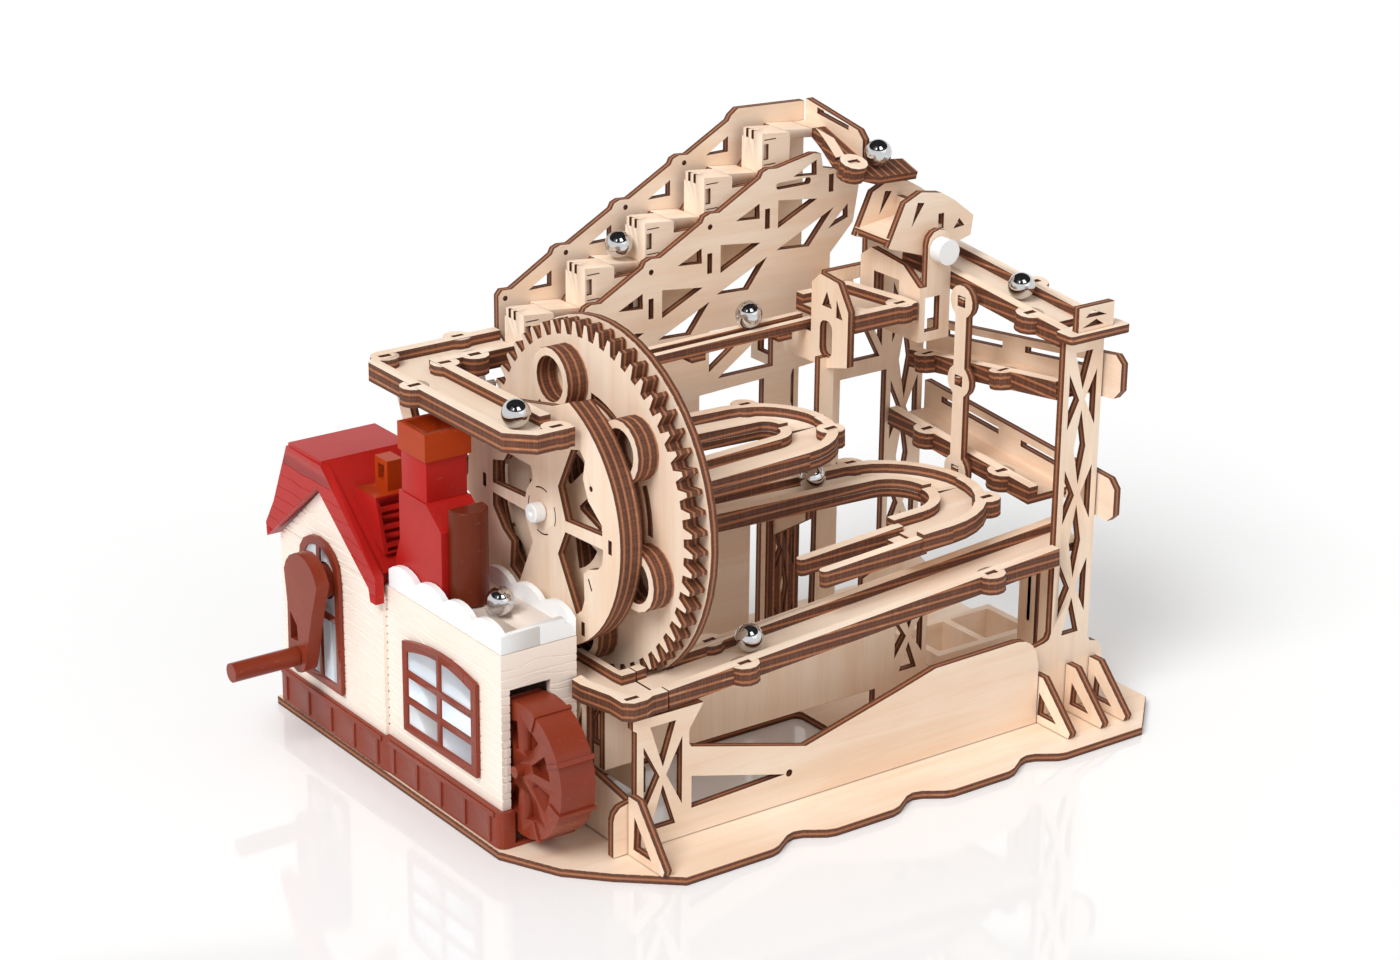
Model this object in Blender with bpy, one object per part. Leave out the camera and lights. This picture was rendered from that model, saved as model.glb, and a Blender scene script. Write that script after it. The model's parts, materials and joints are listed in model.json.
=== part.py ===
"""Hand-cranked wooden marble run with a plastic house.

Every piece of the kit is its own object. Sizes are in millimetres and MM turns them into metres.
X runs along the front panel away from the house, Y runs back, Z runs up from the table.
"""

import math

import bmesh
import bpy
from mathutils import Matrix, Vector
from mathutils.geometry import tessellate_polygon

MM = 0.001
BITE = 0.3

# Sheet, joints and clearances
PLY = 3.0
GAP = 0.3
RUN = 0.6

# Ball track section
RAIL_HEIGHT = 3.5
RAIL_WIDTH = 4.0
CHANNEL = 14.0
TRACK_WIDTH = CHANNEL + 2 * RAIL_WIDTH
TRACK_DEPTH = PLY + RAIL_HEIGHT
EAR_RADIUS = 5.0
EAR_SLOT = (4.5, 2.2)
EAR_SHY = 0.12
BALL_RADIUS = 4.8

# Base plate
BASE_LEFT = -48.5
BASE_RIGHT = 205.0
BASE_FRONT = -23.5
BASE_BACK = 170.0
BASE_BACK_STEP = 134.0
WAVE_DEPTH = 6.0
WAVE_WIDTH = 13.0
WAVE_PLACES = (38.0, 88.0, 138.0)
DECK = PLY + GAP

# House
HOUSE_LEFT = -45.5
HOUSE_RIGHT = -16.8
HOUSE_FRONT = 27.0
HOUSE_STEP = 97.0
HOUSE_BACK = 166.0
HOUSE_WALL = 2.4
TERRACE_HEIGHT = 70.0
GABLE_JUT = 1.5
GABLE_MIDDLE = 133.0
EAVE_HEIGHT = 66.0
RIDGE = 104.0
WALL_APEX = RIDGE - 10.0
SKIRT_HEIGHT = 16.0
SKIRT_OUT = 2.4
PARAPET_HEIGHT = 9.0
PARAPET_WALL = 2.2

# Chimney
CHIMNEY_LEFT = -42.8
CHIMNEY_DEPTH = 17.0
CHIMNEY_WIDTH = 17.0
CHIMNEY_FRONT = 75.0
CHIMNEY_SHOULDER = 105.0
CHIMNEY_TOP = 119.0
CAP_HEIGHT = 9.5
COVER_RADIUS = 6.5

# Crank
CRANK_Y = 133.0
CRANK_Z = 60.0
CRANK_REACH = 27.0
CRANK_BOSS = 11.5
CRANK_END = 6.0
ARM_THICKNESS = 5.0
ARM_BACK = -53.0
KNOB_LENGTH = 25.0
KNOB_RADIUS = 3.4
KNOB_END = ARM_BACK - ARM_THICKNESS - GAP - KNOB_LENGTH
SHAFT_RADIUS = 2.0

# Big wheel
WHEEL_Y = 54.0
WHEEL_Z = 103.0
DISC_FACE = -12.0
DISC_RADIUS = 44.6
DISC_RING = 9.0
MOUTH_FROM = 41.0
MOUTH_CORNER = 100.0
MOUTH_TO = 111.0
MOUTH_DEPTH = 6.2
AXLE_CAP_RADIUS = 3.3
AXLE_CAP_LENGTH = 4.4
POCKETS = 6
POCKET_BASE = 34.6
POCKET_RADIUS = 41.6
POCKET_RING = 10.6
POCKET_HOLE = 7.6
POCKET_PHASE = 18.0
POCKET_DEPTH = 8.0
GEAR_MODULE = 2.054
WHEEL_TEETH = 56
CAM_TEETH = 11
GEAR_THICKNESS = 6.0
AXLE_RADIUS = 2.5
GUARD_RADIUS = 60.4

# Right-hand towers and ramps
TOWER_LEFT = 165.5
TOWER_RIGHT = 182.8
TOWER_HEIGHT = 141.0
BACK_FRAME_Y = 98.0
RAMP_LEFT = 166.0
RAMP_A_LEVEL = TOWER_HEIGHT - 28.0
UPPER_RIGHT_LEVEL = TOWER_HEIGHT + 1.0
UPPER_RIGHT_TILT = 5.6

# Bucket
PIVOT_X = 160.0
PIVOT_Z = UPPER_RIGHT_LEVEL + 17.0
BUCKET_FRONT = 69.0
BUCKET_BACK = 90.0
POST_FRONT = 64.4
POST_LOW = PIVOT_Z - 33.0
POST_SHOULDER = PIVOT_Z - 13.0

# Stairs
STEP_RUN = 24.7
STEP_RISE = 12.0
STEPS = 5
STEP_START = 17.4
STEP_TOP = PIVOT_Z - 10.4
TREAD_FALL = 2.6
STAIR_FRONT = 106.0
STAIR_CHANNEL = 15.2
LIFT_TRAVEL = 12.4
CAM_Y_ANGLE = 7.5

ROOT = None
MATERIALS = {}


def clear_scene():
    """Removes every object of the scene."""
    for obj in list(bpy.data.objects):
        bpy.data.objects.remove(obj, do_unlink=True)


def material(name, colour, roughness, metallic=0.0):
    """The Principled BSDF material of this name, made once."""
    if name not in MATERIALS:
        made = bpy.data.materials.new(name)
        made.use_nodes = True
        shader = made.node_tree.nodes["Principled BSDF"]
        shader.inputs["Base Color"].default_value = (*colour, 1.0)
        shader.inputs["Roughness"].default_value = roughness
        shader.inputs["Metallic"].default_value = metallic
        made.diffuse_color = (*colour, 1.0)
        MATERIALS[name] = made
    return MATERIALS[name]


def ply():
    return material("birch_ply", (0.78, 0.60, 0.42), 0.6)


def wall_plastic():
    return material("wall_plastic", (0.80, 0.68, 0.55), 0.5)


def red_plastic():
    return material("red_plastic", (0.45, 0.04, 0.03), 0.35)


def brown_plastic():
    return material("brown_plastic", (0.33, 0.09, 0.04), 0.35)


def white_plastic():
    return material("white_plastic", (0.85, 0.86, 0.86), 0.4)


def chrome():
    return material("ball_chrome", (0.80, 0.80, 0.82), 0.08, 1.0)


# Outlines


def arc(u, v, radius, start, end, steps):
    """Points of an arc about (u, v), from start to end in degrees, both ends included."""
    angles = [math.radians(start + (end - start) * i / steps) for i in range(steps + 1)]
    return [(u + radius * math.cos(a), v + radius * math.sin(a)) for a in angles]


def circle(u, v, radius, sides=24, phase=0.0):
    return arc(u, v, radius, phase, phase + 360.0, sides)[:-1]


def rectangle(u0, v0, u1, v1):
    return [(u0, v0), (u1, v0), (u1, v1), (u0, v1)]


def rounded_rectangle(u0, v0, u1, v1, radius, steps=3):
    """A rectangle whose corners are arcs of this radius."""
    return (
        arc(u1 - radius, v0 + radius, radius, -90, 0, steps)
        + arc(u1 - radius, v1 - radius, radius, 0, 90, steps)
        + arc(u0 + radius, v1 - radius, radius, 90, 180, steps)
        + arc(u0 + radius, v0 + radius, radius, 180, 270, steps)
    )


def gear_outline(u, v, teeth, phase):
    """A toothed disc about (u, v). phase is the angle in degrees of one tooth's middle."""
    pitch = 360.0 / teeth
    middle = GEAR_MODULE * teeth / 2
    tip = middle + GEAR_MODULE
    root = middle - 1.25 * GEAR_MODULE
    shape = ((-0.30, root), (-0.12, tip), (0.12, tip), (0.30, root))
    points = []
    for tooth in range(teeth):
        for share, radius in shape:
            angle = math.radians(phase + (tooth + share) * pitch)
            points.append((u + radius * math.cos(angle), v + radius * math.sin(angle)))
    return points


def lattice(u0, u1, v0, v1, bays, bar=2.6):
    """The holes that leave a row of crossed bars inside a strip from (u0, v0) to (u1, v1)."""
    middle = (u0 + u1) / 2
    rise = (v1 - v0) / bays
    slim = bar * rise / (u1 - u0)
    holes = []
    for bay in range(bays):
        low = v0 + bay * rise
        high = low + rise
        centre = (low + high) / 2
        for edge, inward in ((u0, -bar / 2), (u1, bar / 2)):
            holes.append([(edge, low + slim), (middle + inward, centre), (edge, high - slim)])
    half = (u1 - u0) / 2 - bar / 2
    for joint in range(1, bays):
        level = v0 + joint * rise
        reach = rise / 2 - slim / 2
        holes.append(
            [
                (middle - half * 0.55, level), (middle, level - reach), (middle + half * 0.55, level),
                (middle, level + reach),
            ]
        )
    reach = rise / 2 - slim / 2
    holes.append([(middle - half * 0.8, v0), (middle + half * 0.8, v0), (middle, v0 + reach)])
    holes.append([(middle - half * 0.8, v1), (middle, v1 - reach), (middle + half * 0.8, v1)])
    return holes


# Solids, as meshes in millimetres

PLANES = {
    "X": lambda u, v, w: (w, u, v),
    "Y": lambda u, v, w: (u, w, v),
    "Z": lambda u, v, w: (u, v, w),
}


def plate(plane, low, high, outline, holes=()):
    """A flat piece square to this axis, from low to high along it, with holes right through."""
    loops = [outline, *holes]
    place = PLANES[plane]
    flat = [point for loop in loops for point in loop]
    triangles = tessellate_polygon([[Vector((u, v, 0)) for u, v in loop] for loop in loops])
    shape = bmesh.new()
    bottom = [shape.verts.new(place(u, v, low)) for u, v in flat]
    top = [shape.verts.new(place(u, v, high)) for u, v in flat]
    for a, b, c in triangles:
        shape.faces.new((bottom[a], bottom[b], bottom[c]))
        shape.faces.new((top[c], top[b], top[a]))
    first = 0
    for loop in loops:
        for i in range(len(loop)):
            here = first + i
            after = first + (i + 1) % len(loop)
            shape.faces.new((bottom[here], bottom[after], top[after], top[here]))
        first += len(loop)
    bmesh.ops.recalc_face_normals(shape, faces=shape.faces)
    return finished_mesh(shape)


def finished_mesh(shape):
    mesh = bpy.data.meshes.new("solid")
    shape.to_mesh(mesh)
    shape.free()
    return mesh


def block(x0, y0, z0, x1, y1, z1):
    return plate("Z", z0, z1, rectangle(x0, y0, x1, y1))


def rod(plane, low, high, u, v, radius, sides=16):
    return plate(plane, low, high, circle(u, v, radius, sides))


def ball(x, y, z, radius):
    shape = bmesh.new()
    bmesh.ops.create_icosphere(shape, subdivisions=2, radius=radius)
    bmesh.ops.translate(shape, verts=shape.verts, vec=(x, y, z))
    return finished_mesh(shape)


def moved(mesh, matrix):
    mesh.transform(matrix)
    return mesh


def tilt(mesh, axis, point, degrees):
    """The mesh turned about an axis through a point."""
    pivot = Matrix.Translation(Vector(point))
    return moved(mesh, pivot @ Matrix.Rotation(math.radians(degrees), 4, axis) @ pivot.inverted())


def boolean(first, others, operation):
    """One mesh from several, by an exact Boolean."""
    target = bpy.data.objects.new("target", first)
    bpy.context.collection.objects.link(target)
    tools = []
    for other in others:
        tool = bpy.data.objects.new("tool", other)
        bpy.context.collection.objects.link(tool)
        modifier = target.modifiers.new("step", "BOOLEAN")
        modifier.operation = operation
        modifier.solver = "EXACT"
        modifier.object = tool
        tools.append(tool)
    bpy.context.view_layer.update()
    graph = bpy.context.evaluated_depsgraph_get()
    result = bpy.data.meshes.new_from_object(target.evaluated_get(graph))
    for obj in (target, *tools):
        bpy.data.objects.remove(obj, do_unlink=True)
    return result


def tidied(mesh):
    """The mesh with its flat regions joined again, as long as it stays one closed surface."""
    shape = bmesh.new()
    shape.from_mesh(mesh)
    bmesh.ops.remove_doubles(shape, verts=shape.verts, dist=0.001)
    bmesh.ops.dissolve_limit(shape, angle_limit=0.001, verts=shape.verts, edges=shape.edges)
    bmesh.ops.triangulate(shape, faces=shape.faces)
    if all(len(edge.link_faces) == 2 for edge in shape.edges):
        return finished_mesh(shape)
    shape.free()
    return mesh


def union(first, *others):
    return boolean(first, others, "UNION")


def cut(first, *others):
    return boolean(first, others, "DIFFERENCE")


def piece(name, mesh, look, origin=(0.0, 0.0, 0.0)):
    """The finished object: mesh in metres, its origin on the point where it turns or slides."""
    mesh = tidied(mesh)
    mesh.transform(Matrix.Scale(MM, 4) @ Matrix.Translation(-Vector(origin)))
    mesh.name = name
    mesh.materials.clear()
    mesh.materials.append(look)
    obj = bpy.data.objects.new(name, mesh)
    obj.location = Vector(origin) * MM
    obj.parent = ROOT
    bpy.context.collection.objects.link(obj)
    return obj


# Ball tracks


def channel(floor, rails, level, ears=(), floor_holes=(), more=()):
    """A track: a floor sheet at this level, the rails glued on it, and round ears with a tab slot."""
    top = level + PLY
    solids = [plate("Z", top - BITE, top + RAIL_HEIGHT, rail) for rail in rails]
    solids += [
        plate("Z", level + EAR_SHY, top + RAIL_HEIGHT - EAR_SHY, circle(x, y, EAR_RADIUS, 12, 15))
        for x, y in ears
    ]
    solids += list(more)
    body = union(plate("Z", level, top, floor, floor_holes), *solids)
    if not ears:
        return body
    slots = []
    for x, y in ears:
        half_u, half_v = EAR_SLOT[0] / 2, EAR_SLOT[1] / 2
        slots.append(
            block(
                x - half_u, y - half_v, top + RAIL_HEIGHT - 1.2, x + half_u, y + half_v,
                top + RAIL_HEIGHT + 1,
            )
        )
    return cut(body, *slots)


def slope(rise, run):
    return math.degrees(math.atan2(rise, run))


# Base and front


def front_edge():
    """The base plate's front edge from left to right, with its shallow waves."""
    points = [(BASE_LEFT, 25.0), (-38.6, 4.3), (-27.0, -8.0), (-9.0, BASE_FRONT)]
    for place in WAVE_PLACES:
        for i in range(9):
            share = i / 8
            lift = WAVE_DEPTH * (1 - math.cos(2 * math.pi * share)) / 2
            points.append((place + WAVE_WIDTH * (2 * share - 1), BASE_FRONT + lift))
    return points + [(BASE_RIGHT - 19.0, BASE_FRONT), (BASE_RIGHT, -5.0)]


def build_base():
    outline = front_edge() + [
        (BASE_RIGHT, BASE_BACK_STEP),
        (30.0, BASE_BACK_STEP),
        (4.0, BASE_BACK),
        (BASE_LEFT, BASE_BACK),
    ]
    openings = [
        rounded_rectangle(-8.0, 13.0, 96.0, 56.0, 3),
        rounded_rectangle(20.0, 81.0, 68.0, 100.0, 3),
        rounded_rectangle(92.0, 84.0, 132.0, 100.0, 3),
    ]
    piece("base_plate", plate("Z", 0, PLY, outline, openings), ply())


PANEL_END = 157.4
FRAME_LEFT = -12.0
FRAME_RIGHT = 8.5
FRAME_TOP = 49.0


def build_front_panel():
    """The bare front panel, with its crossed frame at the left that carries the track."""
    outline = (
        [(-21.0, DECK), (PANEL_END, DECK), (PANEL_END, 26.0)]
        + arc(PANEL_END - 10.0, 27.0, 9.5, 0, 90, 4)
        + [(111.0, 36.0), (96.0, 32.0), (56.0, 22.0), (FRAME_RIGHT + 0.8, 34.5), (FRAME_RIGHT, 36.0)]
        + [(FRAME_RIGHT, 41.0), (FRAME_RIGHT + 5.5, FRAME_TOP), (FRAME_LEFT - 1.5, FRAME_TOP)]
        + [(FRAME_LEFT - 1.5, 46.0), (FRAME_LEFT, 45.0), (FRAME_LEFT, 21.5)]
        + arc(-16.0, 16.0, 5.0, 90, 180, 3)
    )
    holes = [[(9.5, 12.5), (47.5, 14.0), (9.5, 24.0)]]
    holes += lattice(FRAME_LEFT + 2.6, FRAME_RIGHT - 2.8, 9.0, 45.5, 1)
    piece("front_panel", plate("Y", 0, PLY, outline, holes), ply())


BRACKET_PLACES = (("right_bracket_1", 158.0), ("right_bracket_2", 173.0), ("right_bracket_3", 183.8))
BRACKET_REACH = 19.4
BRACKET_HEIGHT = 21.0


def bracket(left, back, height):
    """A triangular foot square to X, its tip towards the front."""
    tip = back - BRACKET_REACH
    outline = [(back, DECK), (tip, DECK), (tip - 0.8, DECK + 2.0), (back - 5.0, height), (back, height)]
    hole = [(back - 3.0, DECK + 3.0), (back - 12.5, DECK + 3.0), (back - 3.6, height - 6.5)]
    return plate("X", left, left + PLY, outline, [hole])


def build_brackets():
    for name, left in BRACKET_PLACES:
        piece(name, bracket(left, PLY, BRACKET_HEIGHT), ply())
    piece("front_left_bracket", bracket(-15.5, -GAP, 24.0), ply())


def build_right_tower():
    """The front tower plate with its wide foot behind the front panel's end."""
    foot_left = 155.8
    foot_right = 190.0
    shoulder = 27.0
    outline = (
        [(foot_left, DECK), (foot_right, DECK), (foot_right, shoulder - 6)]
        + arc(foot_right - 6, shoulder - 6, 6, 0, 90, 3)
        + [(TOWER_RIGHT + 1.0, shoulder), (TOWER_RIGHT, 29.0)]
        + [(TOWER_RIGHT, TOWER_HEIGHT), (TOWER_LEFT, TOWER_HEIGHT), (TOWER_LEFT, 34.0)]
        + arc(TOWER_LEFT - 3, 34.0, 3, 0, -90, 2)
        + [(foot_left, 30.0)]
    )
    holes = lattice(TOWER_LEFT + 2.5, TOWER_RIGHT - 2.5, 32.0, TOWER_HEIGHT - 5.0, 3)
    y = PLY + GAP
    tower = plate("Y", y, y + PLY, outline, holes)
    front = y + PLY - 1
    high = front_track_level(RAMP_LEFT) - GAP
    rib = plate("X", RAMP_LEFT + 0.5, RAMP_LEFT + 0.5 + PLY, rectangle(front, DECK, TRACK_WIDTH, high), [
        rounded_rectangle(front + 6.0, 24.0, front + 8.2, high - 5.0, 1.0, 2),
        rounded_rectangle(front + 10.6, 34.0, front + 12.2, high - 5.0, 0.7, 2),
    ])
    piece("right_tower", union(tower, rib), ply())


FRONT_TRACK_LEFT_LEVEL = 50.0
FRONT_TRACK_FALL = 0.066
FRONT_TRACK_START = 0.75


def front_track_level(x):
    """Height of the front track's underside at this X."""
    return FRONT_TRACK_LEFT_LEVEL + FRONT_TRACK_FALL * x


def build_front_tracks():
    """The long front track that falls towards the wheel, and the corner piece that turns into it."""
    back = TRACK_WIDTH
    end = TOWER_LEFT - GAP
    tongue = PLY + GAP + PLY + GAP
    floor = [
        (FRONT_TRACK_START, 0), (end, 0), (end, tongue), (TOWER_RIGHT - 1, tongue),
        (TOWER_RIGHT - 1, back), (FRONT_TRACK_START, back),
    ]
    rails = [
        rectangle(FRONT_TRACK_START, 0, end, RAIL_WIDTH),
        rectangle(FRONT_TRACK_START, back - RAIL_WIDTH, TOWER_RIGHT - 1, back),
    ]
    ears = [(31.0, 0.6), (32.0, back - 0.6), (135.0, 0.6)]
    room = block(
        gear_left() - RUN, back - RAIL_WIDTH, 0, guard_left() + PLY + RUN, back + 1, TERRACE_HEIGHT,
    )
    body = cut(channel(floor, rails, FRONT_TRACK_LEFT_LEVEL, ears), room)
    piece(
        "front_track", tilt(body, "Y", (0, 0, FRONT_TRACK_LEFT_LEVEL), -slope(FRONT_TRACK_FALL, 1)),
        ply(),
    )

    left = HOUSE_RIGHT + GAP
    inner = -3.6
    far = 44.0
    outer = [
        (left, far), (left, 26.0), (-20.0, 25.0), (-20.0, 20.0), (-17.0, 8.0), (-17.0, 1.0),
        (-14.0, -1.5), (-9.0, -1.5), (-6.0, 0), (0, 0),
    ]
    floor = outer + [(0, back), (inner, back), (inner, far)]
    rails = [
        outer[1:] + [(0, RAIL_WIDTH), (-12.0, RAIL_WIDTH), (-16.0, 21.0), (-15.6, 26.0)],
        [
            (inner - 2.4, far), (inner - 2.4, back), (-5.5, back - RAIL_WIDTH), (0, back - RAIL_WIDTH),
            (0, back), (inner, back), (inner, far),
        ],
    ]
    slot = block(
        -15.0, 1.4, FRONT_TRACK_LEFT_LEVEL + TRACK_DEPTH - 1.2, -10.0, 3.2,
        FRONT_TRACK_LEFT_LEVEL + TRACK_DEPTH + 1,
    )
    piece("corner_track", cut(channel(floor, rails, FRONT_TRACK_LEFT_LEVEL - 0.15), slot), ply())


INNER_FRONT = 19.0
POST_LEFT = 106.0
POST_RIGHT = 122.5


def build_lower_frame():
    """What stands under the front track: inner panel, middle post, corner support and tower rib."""
    bottom = 24.0
    left = -11.5
    right = POST_LEFT + 1
    under = FRONT_TRACK_LEFT_LEVEL - 0.15 - GAP
    outline = [
        (left, bottom), (right, bottom), (right, front_track_level(right) - GAP),
        (GAP, front_track_level(0) - GAP), (0, under), (left, under),
    ]
    panel = plate("Y", INNER_FRONT, INNER_FRONT + PLY, outline)

    foot_left, foot_right = POST_LEFT - 6.0, POST_RIGHT + 8.0
    outline = [
        (foot_left, DECK), (foot_right, DECK), (foot_right, 18.0), (POST_RIGHT + 3.0, 25.0),
        (POST_RIGHT, 28.0),
        (POST_RIGHT, front_track_level(POST_LEFT) - GAP), (POST_LEFT, front_track_level(POST_LEFT) - GAP),
        (POST_LEFT, bottom), (foot_left, bottom),
    ]
    holes = lattice(POST_LEFT + 2.4, POST_RIGHT - 2.4, 28.0, 53.0, 1)
    holes.append(
        [(POST_LEFT + 1.0, 8.0), (POST_RIGHT + 3.0, 8.0), (POST_RIGHT, 20.0), (POST_LEFT + 3.0, 20.0)]
    )
    post = plate("Y", INNER_FRONT, INNER_FRONT + PLY, outline, holes)
    piece("inner_panel", union(panel, post), ply())

    outline = [
        (PLY + GAP, DECK), (44.0, DECK), (44.0, 21.0), (35.0, 24.0), (35.0, under), (24.0, under),
        (24.0, 24.5), (PLY + GAP, 21.0),
    ]
    piece(
        "corner_support",
        plate("X", -15.0, -12.0, outline, [[(27.0, 27.0), (32.0, 27.0), (27.0, 44.0)]]), ply(),
    )


TRAY = (141.0, 34.0, 186.0, 60.0)
TRAY_HEIGHT = 17.0


def build_tray():
    """The open parts tray on the base, with one cross wall."""
    x0, y0, x1, y1 = TRAY
    high = DECK + TRAY_HEIGHT
    body = block(x0, y0, DECK, x1, y1, high)
    half = (x0 + x1) / 2
    cells = []
    for left, right in ((x0 + PLY, half - PLY / 2), (half + PLY / 2, x1 - PLY)):
        cells.append(block(left, y0 + PLY, DECK + PLY, right, y1 - PLY, high + 1))
    piece("storage_tray", cut(body, *cells), ply())


# House


def gable_outline(inset, low, apex_drop):
    """The gable wall seen along X, from this height up to the rafters."""
    front = HOUSE_STEP + inset
    back = HOUSE_BACK - inset
    return [
        (front, low), (back, low), (back, EAVE_HEIGHT), (GABLE_MIDDLE, WALL_APEX - apex_drop),
        (front, EAVE_HEIGHT),
    ]


WATER_WHEEL_Y = 22.5
WATER_WHEEL_Z = 31.0
WATER_WHEEL_RADIUS = 23.0
WATER_WHEEL_X = -34.5
WATER_WHEEL_WIDTH = 13.0


def build_house():
    low = DECK
    terrace = block(HOUSE_LEFT, HOUSE_FRONT, low, HOUSE_RIGHT, HOUSE_STEP + 0.6, TERRACE_HEIGHT)
    gable = plate("X", HOUSE_LEFT - GABLE_JUT, HOUSE_RIGHT, gable_outline(0, low, 0))
    shell = union(gable, terrace)
    wall = HOUSE_WALL
    room_front = block(
        HOUSE_LEFT + wall, HOUSE_FRONT + wall, low - 1, HOUSE_RIGHT - wall, HOUSE_STEP - wall,
        TERRACE_HEIGHT + 1,
    )
    door = block(
        HOUSE_LEFT + 8, HOUSE_STEP - wall - 1, low - 1, HOUSE_RIGHT - 8, HOUSE_STEP + wall + 1, 50.0,
    )
    room_back = plate("X", HOUSE_LEFT - GABLE_JUT + wall, HOUSE_RIGHT - wall, [
        (HOUSE_STEP + wall, low - 1), (HOUSE_BACK - wall, low - 1), (HOUSE_BACK - wall, EAVE_HEIGHT - 1),
        (GABLE_MIDDLE, WALL_APEX - wall - 1), (HOUSE_STEP + wall, EAVE_HEIGHT - 1),
    ])
    half = WATER_WHEEL_WIDTH / 2 + RUN + 0.6
    wheel_slot = block(
        WATER_WHEEL_X - half, HOUSE_FRONT - 5, low - 1, WATER_WHEEL_X + half, HOUSE_FRONT + wall + 1,
        WATER_WHEEL_Z + WATER_WHEEL_RADIUS + 3.5,
    )
    bore = rod("X", HOUSE_LEFT - 5, HOUSE_RIGHT + 2, CRANK_Y, CRANK_Z, SHAFT_RADIUS + RUN)
    shell = cut(shell, room_front, room_back, door, wheel_slot, bore, *window_openings())
    cheeks = []
    for edge in (WATER_WHEEL_X - half - 1.8, WATER_WHEEL_X + half):
        outline = arc(WATER_WHEEL_Y, WATER_WHEEL_Z, 5.5, 90, 270, 6) + [
            (HOUSE_FRONT + 1, WATER_WHEEL_Z - 9.0), (HOUSE_FRONT + 1, WATER_WHEEL_Z + 9.0),
        ]
        cheeks.append(
            plate(
                "X", edge, edge + 1.8, outline,
                [circle(WATER_WHEEL_Y, WATER_WHEEL_Z, SHAFT_RADIUS + RUN, 12)],
            )
        )
    shell = union(shell, *cheeks)
    piece("house_walls", shell, wall_plastic())

    outer_left = HOUSE_LEFT - SKIRT_OUT
    outline = [
        (outer_left + 3, HOUSE_FRONT - SKIRT_OUT), (HOUSE_RIGHT, HOUSE_FRONT - SKIRT_OUT),
        (HOUSE_RIGHT, HOUSE_FRONT - GAP),
        (HOUSE_LEFT - GAP, HOUSE_FRONT - GAP), (HOUSE_LEFT - GAP, HOUSE_STEP - GAP),
        (HOUSE_LEFT - GABLE_JUT - GAP, HOUSE_STEP - GAP),
        (HOUSE_LEFT - GABLE_JUT - GAP, HOUSE_BACK), (outer_left - 0.6, HOUSE_BACK),
        (outer_left - 0.6, HOUSE_STEP), (outer_left, HOUSE_STEP - 3),
    ] + arc(outer_left + 3, HOUSE_FRONT - SKIRT_OUT + 3, 3, 180, 270, 3)[:-1]
    skirt = plate("Z", low, SKIRT_HEIGHT, outline)
    slot = block(
        WATER_WHEEL_X - half, HOUSE_FRONT - 9, DECK + 1.2, WATER_WHEEL_X + half, HOUSE_FRONT + 1,
        SKIRT_HEIGHT + 1,
    )
    piece("house_skirt", cut(skirt, slot), brown_plastic())
    build_roof()
    build_chimney()
    build_terrace()
    build_windows()
    build_water_wheel()


ARCH_MIDDLE = 137.0
ARCH_WIDTH = 27.0
ARCH_SILL = 20.5
ARCH_TOP = 74.5
WINDOW_LEFT_Y = 85.0
WINDOW_RIGHT_Y = 39.7
WINDOW_SILL = 22.8
WINDOW_LINTEL = 51.5
WINDOW_CROWN = 58.5
FRAME_BAR = 3.0


def arch_outline(inset):
    """The pointed window of the gable, seen along X."""
    half = ARCH_WIDTH / 2 - inset
    spring = ARCH_TOP - 13.0
    lift = ARCH_TOP - inset - spring
    curve = []
    for i in range(9):
        share = i / 8
        curve.append(
            (
                ARCH_MIDDLE - half * math.cos(math.pi * share),
                spring + lift * math.sin(math.pi * share) ** 0.8,
            )
        )
    return [
        (ARCH_MIDDLE + half, ARCH_SILL + inset)
    ] + curve[::-1] + [(ARCH_MIDDLE - half, ARCH_SILL + inset)]


def window_outline(inset):
    """The six-pane window of the terrace wall, whose head slopes down to the front, seen along X."""
    back = WINDOW_LEFT_Y - inset
    front = WINDOW_RIGHT_Y + inset
    curve = []
    for i in range(9):
        share = i / 8
        y = back + (front - back) * share
        arch = math.sin(math.pi * (0.2 + 0.8 * share) / 1.25)
        curve.append((y, WINDOW_LINTEL - inset + (WINDOW_CROWN - WINDOW_LINTEL) * arch))
    return [(front, WINDOW_SILL + inset), (back, WINDOW_SILL + inset)] + curve


def window_openings():
    """Cutters for the two window holes in the walls."""
    arch = plate("X", HOUSE_LEFT - GABLE_JUT - 2, HOUSE_LEFT + HOUSE_WALL + 1, arch_outline(FRAME_BAR))
    window = plate("X", HOUSE_LEFT - 3, HOUSE_LEFT + HOUSE_WALL + 1, window_outline(FRAME_BAR))
    return arch, window


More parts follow.
